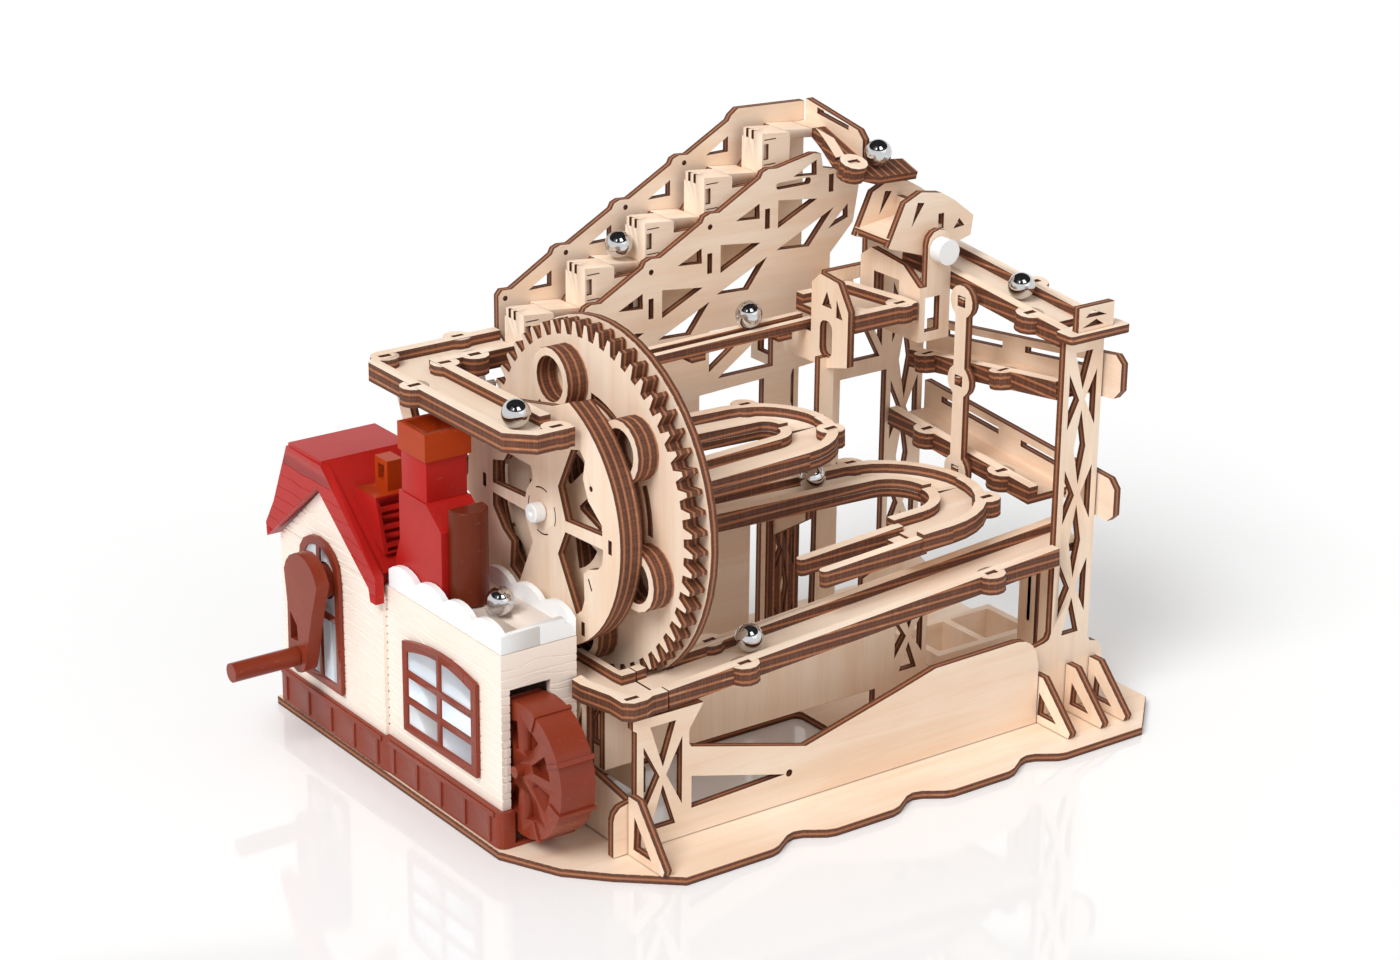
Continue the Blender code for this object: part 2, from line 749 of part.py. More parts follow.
def build_windows():
    """Window frames proud of the wall, each with its panes behind it."""
    out = 1.4
    face = HOUSE_LEFT - GABLE_JUT - GAP
    spokes = 2.4
    frame = plate("X", face - out, face, arch_outline(0), [arch_outline(FRAME_BAR)])
    inside = arch_outline(FRAME_BAR - BITE)
    low, high = inside[0][1], ARCH_TOP - FRAME_BAR
    bars = [
        plate(
            "X", face - out, face - 0.3,
            rectangle(ARCH_MIDDLE - spokes / 2, low, ARCH_MIDDLE + spokes / 2, high),
        ),
        plate(
            "X", face - out, face - 0.3,
            rectangle(
                ARCH_MIDDLE - ARCH_WIDTH / 2 + 2, 46.0, ARCH_MIDDLE + ARCH_WIDTH / 2 - 2, 46.0 + spokes,
            ),
        ),
    ]
    frame = union(frame, *bars)
    pane = plate("X", face - 0.8, face + 1.6, arch_outline(FRAME_BAR + GAP))
    rim = plate("X", face - 0.8, face - 0.2, arch_outline(FRAME_BAR - 0.6))
    bore = rod("X", face - 5, face + 5, CRANK_Y, CRANK_Z, HUB_RADIUS + RUN, 20)
    piece("arched_window", cut(union(frame, rim, pane), bore), brown_plastic())

    face = HOUSE_LEFT - GAP
    frame = plate("X", face - out, face, window_outline(0), [window_outline(FRAME_BAR)])
    middle = (WINDOW_LEFT_Y + WINDOW_RIGHT_Y) / 2
    third = (WINDOW_LINTEL - WINDOW_SILL) / 3
    bars = [
        plate(
            "X", face - out, face - 0.3,
            rectangle(middle - spokes / 2, WINDOW_SILL + 2, middle + spokes / 2, WINDOW_CROWN - 2.5),
        )
    ]
    for i in (1, 2):
        level = WINDOW_SILL + i * third + 1.0
        bars.append(
            plate(
                "X", face - out, face - 0.3,
                rectangle(WINDOW_RIGHT_Y + 2, level, WINDOW_LEFT_Y - 2, level + spokes),
            )
        )
    pane = plate("X", face - 0.8, face + 1.6, window_outline(FRAME_BAR + GAP))
    rim = plate("X", face - 0.8, face - 0.2, window_outline(FRAME_BAR - 0.6))
    piece("front_window", union(frame, *bars, rim, pane), brown_plastic())


ROOF_FRONT = -49.6


def build_roof():
    """The red roof: front gable board, slopes over the walls, and the louvred dormer at the side."""
    under = [
        (HOUSE_STEP + 0.9, TERRACE_HEIGHT + GAP), (GABLE_MIDDLE, WALL_APEX + GAP + 1.0),
        (HOUSE_BACK + 3.0, EAVE_HEIGHT - 1.0),
    ]
    outer = [
        (HOUSE_BACK + 3.5, EAVE_HEIGHT + 5.0), (HOUSE_BACK - 2.5, EAVE_HEIGHT + 14.5),
        (HOUSE_BACK - 13.0, RIDGE),
        (GABLE_MIDDLE - 2.0, RIDGE), (GABLE_MIDDLE - 6.0, RIDGE - 5.0),
        (HOUSE_STEP + 0.9, EAVE_HEIGHT + 8.0),
    ]
    roof = plate("X", ROOF_FRONT, HOUSE_RIGHT + 1.0, under + outer)
    board_inner = [
        (HOUSE_BACK + 3.0, EAVE_HEIGHT - 1.0), (GABLE_MIDDLE, WALL_APEX + GAP),
        (HOUSE_STEP + 3.0, EAVE_HEIGHT + 3.0), (HOUSE_STEP + 2.0, EAVE_HEIGHT - 1.5),
    ]
    board_outer = [
        (HOUSE_STEP - 1.5, EAVE_HEIGHT - 1.5), (HOUSE_STEP - 1.5, EAVE_HEIGHT + 8.0),
        (GABLE_MIDDLE - 3.0, RIDGE - 1.0),
        (HOUSE_BACK - 13.0, RIDGE - 1.0), (HOUSE_BACK - 2.5, EAVE_HEIGHT + 13.5),
        (HOUSE_BACK + 3.5, EAVE_HEIGHT + 4.0),
    ]
    board = plate("X", ROOF_FRONT - 1.0, HOUSE_LEFT - GABLE_JUT - GAP, board_inner + board_outer)
    dormer_left = -43.5
    dormer_top = RIDGE - 6.5
    dormer = plate("X", dormer_left, dormer_left + 14.0, [
        (HOUSE_STEP + 4.0, EAVE_HEIGHT + 13.0), (HOUSE_STEP + 22.0, dormer_top - 9.5),
        (HOUSE_STEP + 22.0, dormer_top), (HOUSE_STEP + 9.0, dormer_top),
    ])
    roof = union(roof, board, dormer)
    louvres = []
    lowest = EAVE_HEIGHT + 13.5
    for i in range(6):
        level = lowest + i * (RIDGE - 10.0 - lowest) / 5
        reach = HOUSE_STEP + 4.6 + i * 0.75
        louvres.append(
            block(
                dormer_left + 1.5, HOUSE_STEP - 3.0, level, dormer_left + 12.5, reach + 1.2,
                level + 1.4,
            )
        )
    chimney_room = block(
        CHIMNEY_LEFT - GAP, CHIMNEY_FRONT - 20, EAVE_HEIGHT - 6, CHIMNEY_LEFT + CHIMNEY_DEPTH + GAP,
        CHIMNEY_FRONT + CHIMNEY_WIDTH + 3 + GAP, CHIMNEY_TOP,
    )
    roof = cut(roof, *louvres, chimney_room)
    vent_left = -37.0
    vent = plate(
        "X", vent_left, vent_left + 6.0, rectangle(
            HOUSE_STEP + 12.0, RIDGE - 8.0, HOUSE_STEP + 20.0, RIDGE + 4.0,
        ),
        [rectangle(HOUSE_STEP + 14.0, RIDGE - 3.5, HOUSE_STEP + 18.0, RIDGE + 2.0)],
    )
    piece("roof", union(roof, vent), red_plastic())


def build_chimney():
    """Chimney shaft with wide shoulders, a hollow cap and a round-topped cover at its front."""
    x0 = CHIMNEY_LEFT
    x1 = CHIMNEY_LEFT + CHIMNEY_DEPTH
    y0 = CHIMNEY_FRONT
    y1 = CHIMNEY_FRONT + CHIMNEY_WIDTH
    bottom = TERRACE_HEIGHT + GAP + PLY
    shaft = block(x0 + 0.8, y0 + 0.8, CHIMNEY_SHOULDER - 3, x1 - 0.8, y1 - 0.8, CHIMNEY_TOP)
    base = plate("X", x0, x1, [
        (y0 - 9.0, bottom), (HOUSE_STEP - 2.0, bottom), (HOUSE_STEP - 2.0, 80.0), (y1, 88.0),
        (y1, CHIMNEY_SHOULDER), (y0, CHIMNEY_SHOULDER), (y0 - 9.0, CHIMNEY_SHOULDER - 7.0),
    ])
    piece("chimney", union(base, shaft), red_plastic())
    low = CHIMNEY_TOP + GAP
    cap = block(x0, y0, low, x1 + 0.5, y1, low + CAP_HEIGHT)
    hollow = block(x0 + 2.2, y0 + 2.2, low + 2.0, x1 - 1.7, y1 - 2.2, low + CAP_HEIGHT + 1)
    piece("chimney_cap", cut(cap, hollow), brown_plastic())
    front = y0 - 9.0 - GAP
    middle = (x0 + x1) / 2 + 0.5
    outline = [
        (middle - COVER_RADIUS, front), (middle - COVER_RADIUS, front - 2.0),
    ] + arc(middle, front - 2.0, COVER_RADIUS, 180, 360, 8)[1:-1] + [(
        middle + COVER_RADIUS, front - 2.0,
    ), (middle + COVER_RADIUS, front)]
    cover = plate("Z", bottom, CHIMNEY_SHOULDER + 1.0, outline)
    piece("chimney_cover", cover, brown_plastic())


def build_terrace():
    """Terrace floor with its ball groove and the white scalloped parapet round it."""
    x0 = HOUSE_LEFT + 0.2
    x1 = HOUSE_RIGHT - 0.2
    low = TERRACE_HEIGHT + GAP
    floor = block(x0 + 1, HOUSE_FRONT + 1, low, x1 - 1, HOUSE_STEP - 2.0, low + PLY - GAP)
    groove = block(x0 + 12.0, HOUSE_FRONT + 6.0, low + 1.2, x0 + 17.0, CHIMNEY_FRONT - 20.0, low + PLY + 1)

    def scallops(start, end, waves, foot):
        """Wavy top edge between two places along a wall."""
        points = []
        steps = 6 * waves
        for i in range(steps + 1):
            share = i / steps
            lift = abs(math.sin(math.pi * waves * share)) ** 0.7
            points.append((start + (end - start) * share, foot + PARAPET_HEIGHT - 3.0 + 3.0 * lift))
        return points

    top = scallops(HOUSE_FRONT, HOUSE_STEP - 1.5, 4, low)
    left = plate("X", x0, x0 + PARAPET_WALL, [(HOUSE_STEP - 1.5, low), (HOUSE_FRONT, low)] + top)
    right = plate("X", x1 - PARAPET_WALL, x1, [(HOUSE_STEP - 1.5, low), (HOUSE_FRONT, low)] + top)
    front = plate(
        "Y", HOUSE_FRONT, HOUSE_FRONT + PARAPET_WALL,
        [
            (x0, low), (x1, low), (x1, low + 4.5), (x1 - 4.0, low + 5.0), (x1 - 4.5, low + 7.0),
            (x0, low + 6.0),
        ],
    )
    piece("terrace", cut(union(floor, left, front, right), groove), white_plastic())


def build_water_wheel():
    """The little water wheel in the slot of the house's front wall, on its pin."""
    half = WATER_WHEEL_WIDTH / 2
    x = WATER_WHEEL_X
    y = WATER_WHEEL_Y
    z = WATER_WHEEL_Z
    panels = []
    for i in range(8):
        start = 45 * i + 6
        panels.append(arc(y, z, 7.0, start + 6, start + 27, 1) + arc(y, z, 16.5, start + 31, start + 2, 2))
    disc = plate("X", x - half, x + half, circle(y, z, WATER_WHEEL_RADIUS, 32))
    recesses = []
    for side in (-1, 1):
        near = x + side * (half - 3.0)
        far = x + side * (half + 1.0)
        recesses += [plate("X", min(near, far), max(near, far), panel) for panel in panels]
    blades = []
    for i in range(8):
        angle = 45 * i + 20
        blade = block(
            x - half - 0.6, y + 17.0, z - 0.7, x + half + 0.6, y + WATER_WHEEL_RADIUS + 2.6, z + 0.7,
        )
        blades.append(tilt(blade, "X", (x, y, z), angle))
    pin = rod("X", x - half - 2.8, x + half + 2.8, y, z, SHAFT_RADIUS, 12)
    piece("water_wheel", union(cut(disc, *recesses), pin, *blades), brown_plastic(), (x, y, z))


# Crank and its shaft

HUB_RADIUS = 6.0


def build_crank():
    """Crank arm with its hub, the knob on it, and the shaft through the house with the drive gear."""
    y, z = CRANK_Y, CRANK_Z
    end_z = z - CRANK_REACH
    lean = 4.0
    arm_outline = arc(y, z, CRANK_BOSS, 15, 165, 8) + [(y - 7.0, z - 9.0)] + arc(
        y + lean, end_z, CRANK_END, 190, 350, 6,
    ) + [(y + 9.5, z - 9.0)]
    arm = plate("X", ARM_BACK - ARM_THICKNESS, ARM_BACK, arm_outline)
    hub = rod("X", ARM_BACK - 1, HOUSE_LEFT - GABLE_JUT - 0.2, y, z, HUB_RADIUS, 20)
    slot = plate(
        "X", ARM_BACK - ARM_THICKNESS - 1, ARM_BACK + 1,
        [
            (y + lean + 3.8, z - 11.5), (y + lean - 0.7, z - 15.5), (y + lean - 1.2, z - 21.2),
            (y + lean + 3.9, z - 21.7),
        ],
    )
    arm = cut(union(arm, hub), slot)
    bore = rod("X", ARM_BACK - 3.0, HOUSE_LEFT, y, z, SHAFT_RADIUS + GAP, 12)
    pin_bore = rod("X", ARM_BACK - ARM_THICKNESS - 1, ARM_BACK + 1, y + lean, end_z, SHAFT_RADIUS + GAP, 12)
    piece("crank_arm", cut(arm, bore, pin_bore), brown_plastic(), (ARM_BACK, y, z))
    root = ARM_BACK - ARM_THICKNESS - GAP
    knob = rod("X", root - KNOB_LENGTH, root, y + lean, end_z, KNOB_RADIUS, 16)
    neck = rod("X", root - 1, ARM_BACK - 0.4, y + lean, end_z, SHAFT_RADIUS, 12)
    piece("crank_knob", union(knob, neck), brown_plastic(), (root, y + lean, end_z))
    shaft_end = gear_left() + GEAR_THICKNESS + 1.5
    shaft = rod("X", ARM_BACK - 2.5, shaft_end, y, z, SHAFT_RADIUS, 12)
    left = gear_left()
    outline = gear_outline(y, z, drive_teeth(), mesh_phase(y, z, drive_teeth()))
    gear = plate("X", left, left + GEAR_THICKNESS, outline, spoke_holes(y, z, 9.0, 24.0, 6, 5.0))
    piece("crank_shaft", union(gear, shaft), ply(), (ARM_BACK, y, z))


def mesh_phase(y, z, teeth):
    """Angle of a tooth of a gear about (y, z) that runs in the big wheel's teeth at rest."""
    toward = math.degrees(math.atan2(z - WHEEL_Z, y - WHEEL_Y))
    ahead = (-toward) % (360.0 / WHEEL_TEETH)
    return toward + 180.0 - ahead * WHEEL_TEETH / teeth + 180.0 / teeth


def drive_teeth():
    """Teeth of the drive gear: as many as reach from the crank's line to the wheel's rim."""
    distance = math.hypot(CRANK_Y - WHEEL_Y, CRANK_Z - WHEEL_Z)
    return int((2 * distance / GEAR_MODULE) - WHEEL_TEETH)


def gear_left():
    return DISC_FACE + 3 * PLY + POCKET_DEPTH


def spoke_holes(u, v, inner, outer, count, bar, phase=0.0):
    """Holes between straight spokes of this width, from an inner to an outer radius."""
    holes = []
    step = 360.0 / count
    for i in range(count):
        centre = phase + step * (i + 0.5)
        spread_in = step / 2 - math.degrees(math.asin(bar / 2 / inner))
        spread_out = step / 2 - math.degrees(math.asin(bar / 2 / outer))
        holes.append(
            arc(u, v, inner, centre - spread_in, centre + spread_in, 2) + arc(
                u, v, outer, centre + spread_out, centre - spread_out, 4,
            )
        )
    return holes


# Big wheel

DISC_HOLES = (
    (
        (-17.0, 26.3), (-21.9, 27.6), (-24.9, 24.7), (-23.7, 18.5), (-26.7, 11.8), (-34.6, 5.9),
        (-34.6, 2.6), (-13.7, 0.9), (-9.4, 11.4),
    ),
    (
        (-13.6, -2.9), (-35.0, -1.9), (-34.6, -7.1), (-32.1, -9.6), (-26.6, -11.5), (-24.1, -13.9),
        (-24.5, -22.7), (-22.9, -27.0), (-19.7, -29.4), (-9.2, -11.8),
    ),
    (
        (29.3, 8.6), (22.6, 10.3), (20.0, 13.7), (6.4, 13.5), (5.2, 9.4), (8.8, 4.8), (9.8, 1.5),
        (29.5, 0.5),
    ),
    (
        (29.5, -2.9), (9.9, -3.1), (9.5, -5.6), (5.5, -12.6), (13.6, -29.0), (19.5, -26.1),
        (18.6, -17.0), (23.8, -14.1), (29.6, -7.6),
    ),
)
DISC_SLOTS = ((-38.9, 0.1), (-23.6, -33.1), (34.5, -0.1))


def pocket_angles():
    return [POCKET_PHASE + 360.0 / POCKETS * i for i in range(POCKETS)]


def lobed_outline():
    """The pocket plate's edge: a disc with a round lobe at each ball pocket."""
    reach = math.degrees(
        math.acos(
            (POCKET_BASE**2 + POCKET_RADIUS**2 - POCKET_RING**2) / (2 * POCKET_BASE * POCKET_RADIUS)
        )
    )
    side = math.degrees(
        math.atan2(
            POCKET_BASE * math.sin(math.radians(reach)),
            POCKET_BASE * math.cos(math.radians(reach)) - POCKET_RADIUS,
        )
    )
    points = []
    for angle in pocket_angles():
        u = WHEEL_Y + POCKET_RADIUS * math.cos(math.radians(angle))
        v = WHEEL_Z + POCKET_RADIUS * math.sin(math.radians(angle))
        points += arc(u, v, POCKET_RING, angle - side, angle + side, 14)
        gap = 360.0 / POCKETS - 2 * reach
        points += arc(WHEEL_Y, WHEEL_Z, POCKET_BASE, angle + reach, angle + reach + gap, 6)[1:-1]
    return points


def open_arc(radius):
    """An arc of the front disc, from one end of its open top round to the other."""
    return arc(WHEEL_Y, WHEEL_Z, radius, MOUTH_TO, MOUTH_FROM + 360.0, 52)


def build_wheel():
    """The big ball wheel: spoked front disc, rim ring, pocket plate and toothed ring on one axle."""
    y, z = WHEEL_Y, WHEEL_Z
    axle = circle(y, z, AXLE_RADIUS + GAP, 12)
    origin = (DISC_FACE, y, z)
    holes = [axle] + [[(y + a, z + b) for a, b in hole] for hole in DISC_HOLES]
    holes += [rectangle(y + a - 1.0, z + b - 2.4, y + a + 1.0, z + b + 2.4) for a, b in DISC_SLOTS]
    depth = DISC_RADIUS - MOUTH_DEPTH
    corner = math.radians(MOUTH_CORNER)
    edge = open_arc(DISC_RADIUS) + [(y + depth * math.cos(corner), z + depth * math.sin(corner))]
    disc = plate("X", DISC_FACE, DISC_FACE + PLY, edge, holes)
    ring = plate(
        "X", DISC_FACE + PLY - BITE, DISC_FACE + 3 * PLY - GAP,
        open_arc(DISC_RADIUS - 0.5) + open_arc(DISC_RADIUS - DISC_RING)[::-1],
    )
    piece("wheel_front_disc", union(disc, ring), ply(), origin)
    pockets = []
    for angle in pocket_angles():
        u = y + POCKET_RADIUS * math.cos(math.radians(angle))
        v = z + POCKET_RADIUS * math.sin(math.radians(angle))
        pockets.append(circle(u, v, POCKET_HOLE, 20))
    left = DISC_FACE + 3 * PLY
    holes = [axle, *pockets] + spoke_holes(y, z, 9.0, 21.0, 6, 8.0, POCKET_PHASE)
    piece(
        "wheel_pocket_plate", plate("X", left, left + POCKET_DEPTH - GAP, lobed_outline(), holes),
        ply(), origin,
    )
    left = gear_left()
    slots = []
    for angle in pocket_angles():
        middle = angle + 180.0 / POCKETS
        slots.append(
            arc(y, z, POCKET_BASE + 0.8, middle - 13, middle + 13, 4)
            + arc(y, z, POCKET_BASE + 3.4, middle + 13, middle - 13, 4)
        )
    holes = [axle, *slots] + spoke_holes(y, z, 9.0, 21.0, 6, 8.0, POCKET_PHASE)
    gear = plate("X", left, left + GEAR_THICKNESS, gear_outline(y, z, WHEEL_TEETH, 0.0), holes)
    piece("wheel_gear", gear, ply(), origin)
    right = guard_left() + PLY + 2.5
    hub = rod("X", DISC_FACE - AXLE_CAP_LENGTH, DISC_FACE - GAP, y, z, AXLE_CAP_RADIUS)
    piece(
        "wheel_axle", union(hub, rod("X", DISC_FACE - 3.0, right, y, z, AXLE_RADIUS)), white_plastic(),
        origin,
    )
    build_wheel_guard()


def guard_left():
    return gear_left() + GEAR_THICKNESS + RUN


def cam_shaft_place():
    """Y and Z of the cam shaft, whose small gear runs in the big wheel's teeth."""
    distance = GEAR_MODULE * (WHEEL_TEETH + CAM_TEETH) / 2 + GAP
    angle = math.radians(CAM_Y_ANGLE)
    return WHEEL_Y + distance * math.cos(angle), WHEEL_Z + distance * math.sin(angle)


def build_wheel_guard():
    """The fixed plate behind the wheel. It closes the pockets, and carries the axle and the cam shaft."""
    y, z = WHEEL_Y, WHEEL_Z
    cam_y, cam_z = cam_shaft_place()
    left = guard_left()
    leg = 17.0
    low = math.degrees(math.asin(leg / GUARD_RADIUS))
    outline = arc(y, z, GUARD_RADIUS, 20, 270 - low, 32)
    outline += [
        (y - leg, 16.0), (y - leg - 4.0, 12.0), (y - leg - 4.0, DECK), (y + leg + 8.0, DECK),
        (y + leg + 8.0, 12.0), (y + leg, 16.0),
    ]
    outline += arc(y, z, GUARD_RADIUS, 270 + low, 352, 10)
    outline += arc(cam_y, cam_z, 7.0, -70, 70, 5)
    holes = [circle(y, z, AXLE_RADIUS + RUN, 16), circle(cam_y, cam_z, SHAFT_RADIUS + RUN, 12)]
    holes += spoke_holes(y, z, 14.0, 24.0, 4, 10.0, 45.0)
    holes += [[(y - leg + 5.0, 12.0), (y + leg - 5.0, 12.0), (y, 32.0)]]
    piece("wheel_guard", plate("X", left, left + PLY, outline, holes), ply())


# Upper-left track

UPPER_LEFT_LEVEL = 133.2


def build_upper_left_track():
    """The L-shaped track from the wheel's top round to the stairs' foot, with its bracket."""
    outer = -37.0
    inner = outer + TRACK_WIDTH
    near = 30.0
    back = 127.5
    cross = 106.8
    end = STEP_START - GAP
    w = RAIL_WIDTH
    floor = [
        (outer, near + 8), (outer + 8, near), (inner, near), (inner, cross), (end, cross), (end, back),
        (outer + 8, back), (outer, back - 8),
    ]
    rails = [
        [
            (inner, near), (inner, near + w), (outer + 9, near + w), (outer + w, near + 9),
            (outer + w, back - 9), (outer + 9, back - w), (end, back - w), (end, back),
            (outer + 8, back), (outer, back - 8), (outer, near + 8), (outer + 8, near),
        ],
        [
            (inner - w, near + 14), (inner, near + 14), (inner, cross), (end, cross), (end, cross + w),
            (inner - w, cross + w),
        ],
    ]
    ears = [
        (outer + 1, 92.0), (outer + 8, back - 5.0), (inner - 1, cross - 1.0),
        (inner + 11.5, cross + 0.5), (2.0, back - 0.6), (inner - 4.5, near + 4.0),
    ]
    track = channel(floor, rails, UPPER_LEFT_LEVEL, ears)
    top = UPPER_LEFT_LEVEL + 1
    outline = [
        (HOUSE_STEP + 10.0, RIDGE + 4.0), (HOUSE_STEP + 19.0, RIDGE + 4.0), (back - 2.0, top - 6.0),
        (back - 2.0, top), (70.0, top), (70.0, top - 5.0), (HOUSE_STEP - 6.0, top - 8.0),
    ]
    hole = [(HOUSE_STEP + 1.0, top - 8.5), (HOUSE_STEP + 20.0, top - 8.5), (HOUSE_STEP + 14.0, RIDGE + 9.0)]
    piece("upper_left_track", union(track, plate("X", inner - 9.0, inner - 6.0, outline, [hole])), ply())


# Stairs


def step_left(k):
    return STEP_START + STEP_RUN * k


def step_top(k):
    return STEP_TOP + STEP_RISE * k


CARRIER_FRONT = STAIR_FRONT + PLY + 0.4
BACK_TRUSS_FRONT = STAIR_FRONT + PLY + STAIR_CHANNEL + 0.8
FIXED_PLATE_FRONT = BACK_TRUSS_FRONT - GAP - PLY


def tread(k, share_from, share_to, front, back):
    """A tread sheet of step k between two shares of its run, falling to the right, and its riser."""
    x0 = step_left(k) + STEP_RUN * share_from
    x1 = step_left(k) + STEP_RUN * share_to
    fall = TREAD_FALL / STEP_RUN
    z0 = step_top(k) - fall * (x0 - step_left(k))
    z1 = step_top(k) - fall * (x1 - step_left(k))
    outline = [
        (x0, z0 - STEP_RISE - 3.5), (x0 + PLY, z0 - STEP_RISE - 3.5), (x0 + PLY, z0 - PLY - 0.3),
        (x1, z1 - PLY), (x1, z1), (x0, z0),
    ]
    return plate("Y", front, back, outline)


def carrier_low(x):
    """Height of the moving carrier's lower edge at this X."""
    return STEP_TOP - 17.5 + STEP_RISE / STEP_RUN * (x - STEP_START)


def fixed_low(x):
    """Height of the fixed plate's lower edge at this X."""
    return STEP_TOP - 19.0 + STEP_RISE / STEP_RUN * (x - STEP_START)


def build_stairs():
    """Moving steps on their carrier, fixed steps on theirs, and the two trusses beside them."""
    share = 0.5
    slack = 0.014
    carrier = []
    for k in range(STEPS):
        x0, x1 = step_left(k), step_left(k) + STEP_RUN * (share - slack)
        fall = TREAD_FALL / STEP_RUN
        carrier += [(x0, step_top(k)), (x1, step_top(k) - fall * (x1 - x0)), (x1, step_top(k) - 5.4)]
        carrier.append((step_left(k + 1) if k < STEPS - 1 else x1, step_top(k) - 5.4))
    last_x = carrier[-1][0]
    leg_left, leg_right = 62.0, 72.0
    cam_z = cam_shaft_place()[1]
    foot_low = cam_z + CAM_RADIUS + LIFT_TRAVEL / 2 + LIFT_TRAVEL + RUN
    carrier = [(STEP_START, carrier_low(STEP_START))] + carrier + [(last_x, carrier_low(last_x))]
    carrier += [(leg_right, carrier_low(leg_right)), (leg_right, foot_low)]
    carrier += [(leg_left, foot_low), (leg_left, carrier_low(leg_left))]
    body = plate("Y", CARRIER_FRONT, CARRIER_FRONT + PLY, carrier)
    treads = [tread(k, 0, share - slack, CARRIER_FRONT + 1, FIXED_PLATE_FRONT - 0.5) for k in range(STEPS)]
    foot = block(leg_left, CARRIER_FRONT + 1, foot_low, leg_right, BACK_TRUSS_FRONT - 0.5, foot_low + PLY)
    piece("moving_steps", union(body, *treads, foot), ply(), (STEP_START, CARRIER_FRONT, STEP_TOP))

    plate_points = []
    for k in range(STEPS):
        x0 = step_left(k)
        x1 = x0 + STEP_RUN - GAP
        z1 = step_top(k) - TREAD_FALL
        plate_points += [(x0 + STEP_RUN * share, step_top(k) - TREAD_FALL / 2), (x1, z1), (x1, z1 - 1)]
    first_x = STEP_START + STEP_RUN * share
    last_x = plate_points[-1][0]
    plate_points = [(first_x, fixed_low(first_x))] + plate_points + [(last_x, fixed_low(last_x))]
    body = plate("Y", FIXED_PLATE_FRONT, FIXED_PLATE_FRONT + PLY, plate_points)
    treads = [
        tread(k, share, 1 - GAP / STEP_RUN, CARRIER_FRONT + PLY + 0.4, FIXED_PLATE_FRONT + 1)
        for k in range(STEPS)
    ]
    piece("fixed_steps", union(body, *treads), ply())
    build_trusses()
    build_lift_drive()


CAM_RADIUS = 6.6
CAM_HUB = 4.2
CAM_LEFT = 64.5
CAM_HEADROOM = 5.2


def build_lift_drive():
    """Small gear, shaft and eccentric cam that lift the moving steps."""
    y, z = cam_shaft_place()
    left = gear_left()
    gear = plate(
        "X", left, left + GEAR_THICKNESS, gear_outline(y, z, CAM_TEETH, mesh_phase(y, z, CAM_TEETH)),
    )
    shaft = rod("X", left - 2.0, CAM_LEFT + 16.0, y, z, SHAFT_RADIUS, 12)
    cam = rod("X", CAM_LEFT, CAM_LEFT + 5.0, y, z + LIFT_TRAVEL / 2, CAM_RADIUS, 28)
    hub = rod("X", CAM_LEFT - 2.0, CAM_LEFT + 7.0, y, z, CAM_HUB)
    piece("cam_shaft", union(gear, shaft, hub, cam), white_plastic(), (left, y, z))


def knees(first, lift):
    """The stepped upper edge of a truss: one rounded knee at each step, a slope to the next."""
    points = []
    for k in range(first, STEPS):
        x = step_left(k)
        z = step_top(k) + lift
        points += [(x - 3.0, z - 2.8), (x - 2.0, z - 0.9), (x + 0.4, z), (x + 4.2, z - 0.3)]
    return points


def front_windows(k):
    """The openings of the front truss below knee k."""
    x = step_left(k)
    z = step_top(k - 1)
    holes = [
        [(x + 11.6, z - 4.4), (x + 21.6, z - 5.2), (x + 21.4, z + 0.2)],
        rectangle(x + 24.0, z - 9.4, x + 26.0, z - 2.2),
        [(x + 5.0, z - 12.0), (x + 5.0, z - 22.0), (x + 22.0, z - 14.0)],
        [(x + 3.6, z - 29.6), (x + 17.0, z - 30.2), (x + 25.0, z - 19.8)],
    ]
    return holes


TRUSS_LOW = STEP_TOP - 40.6


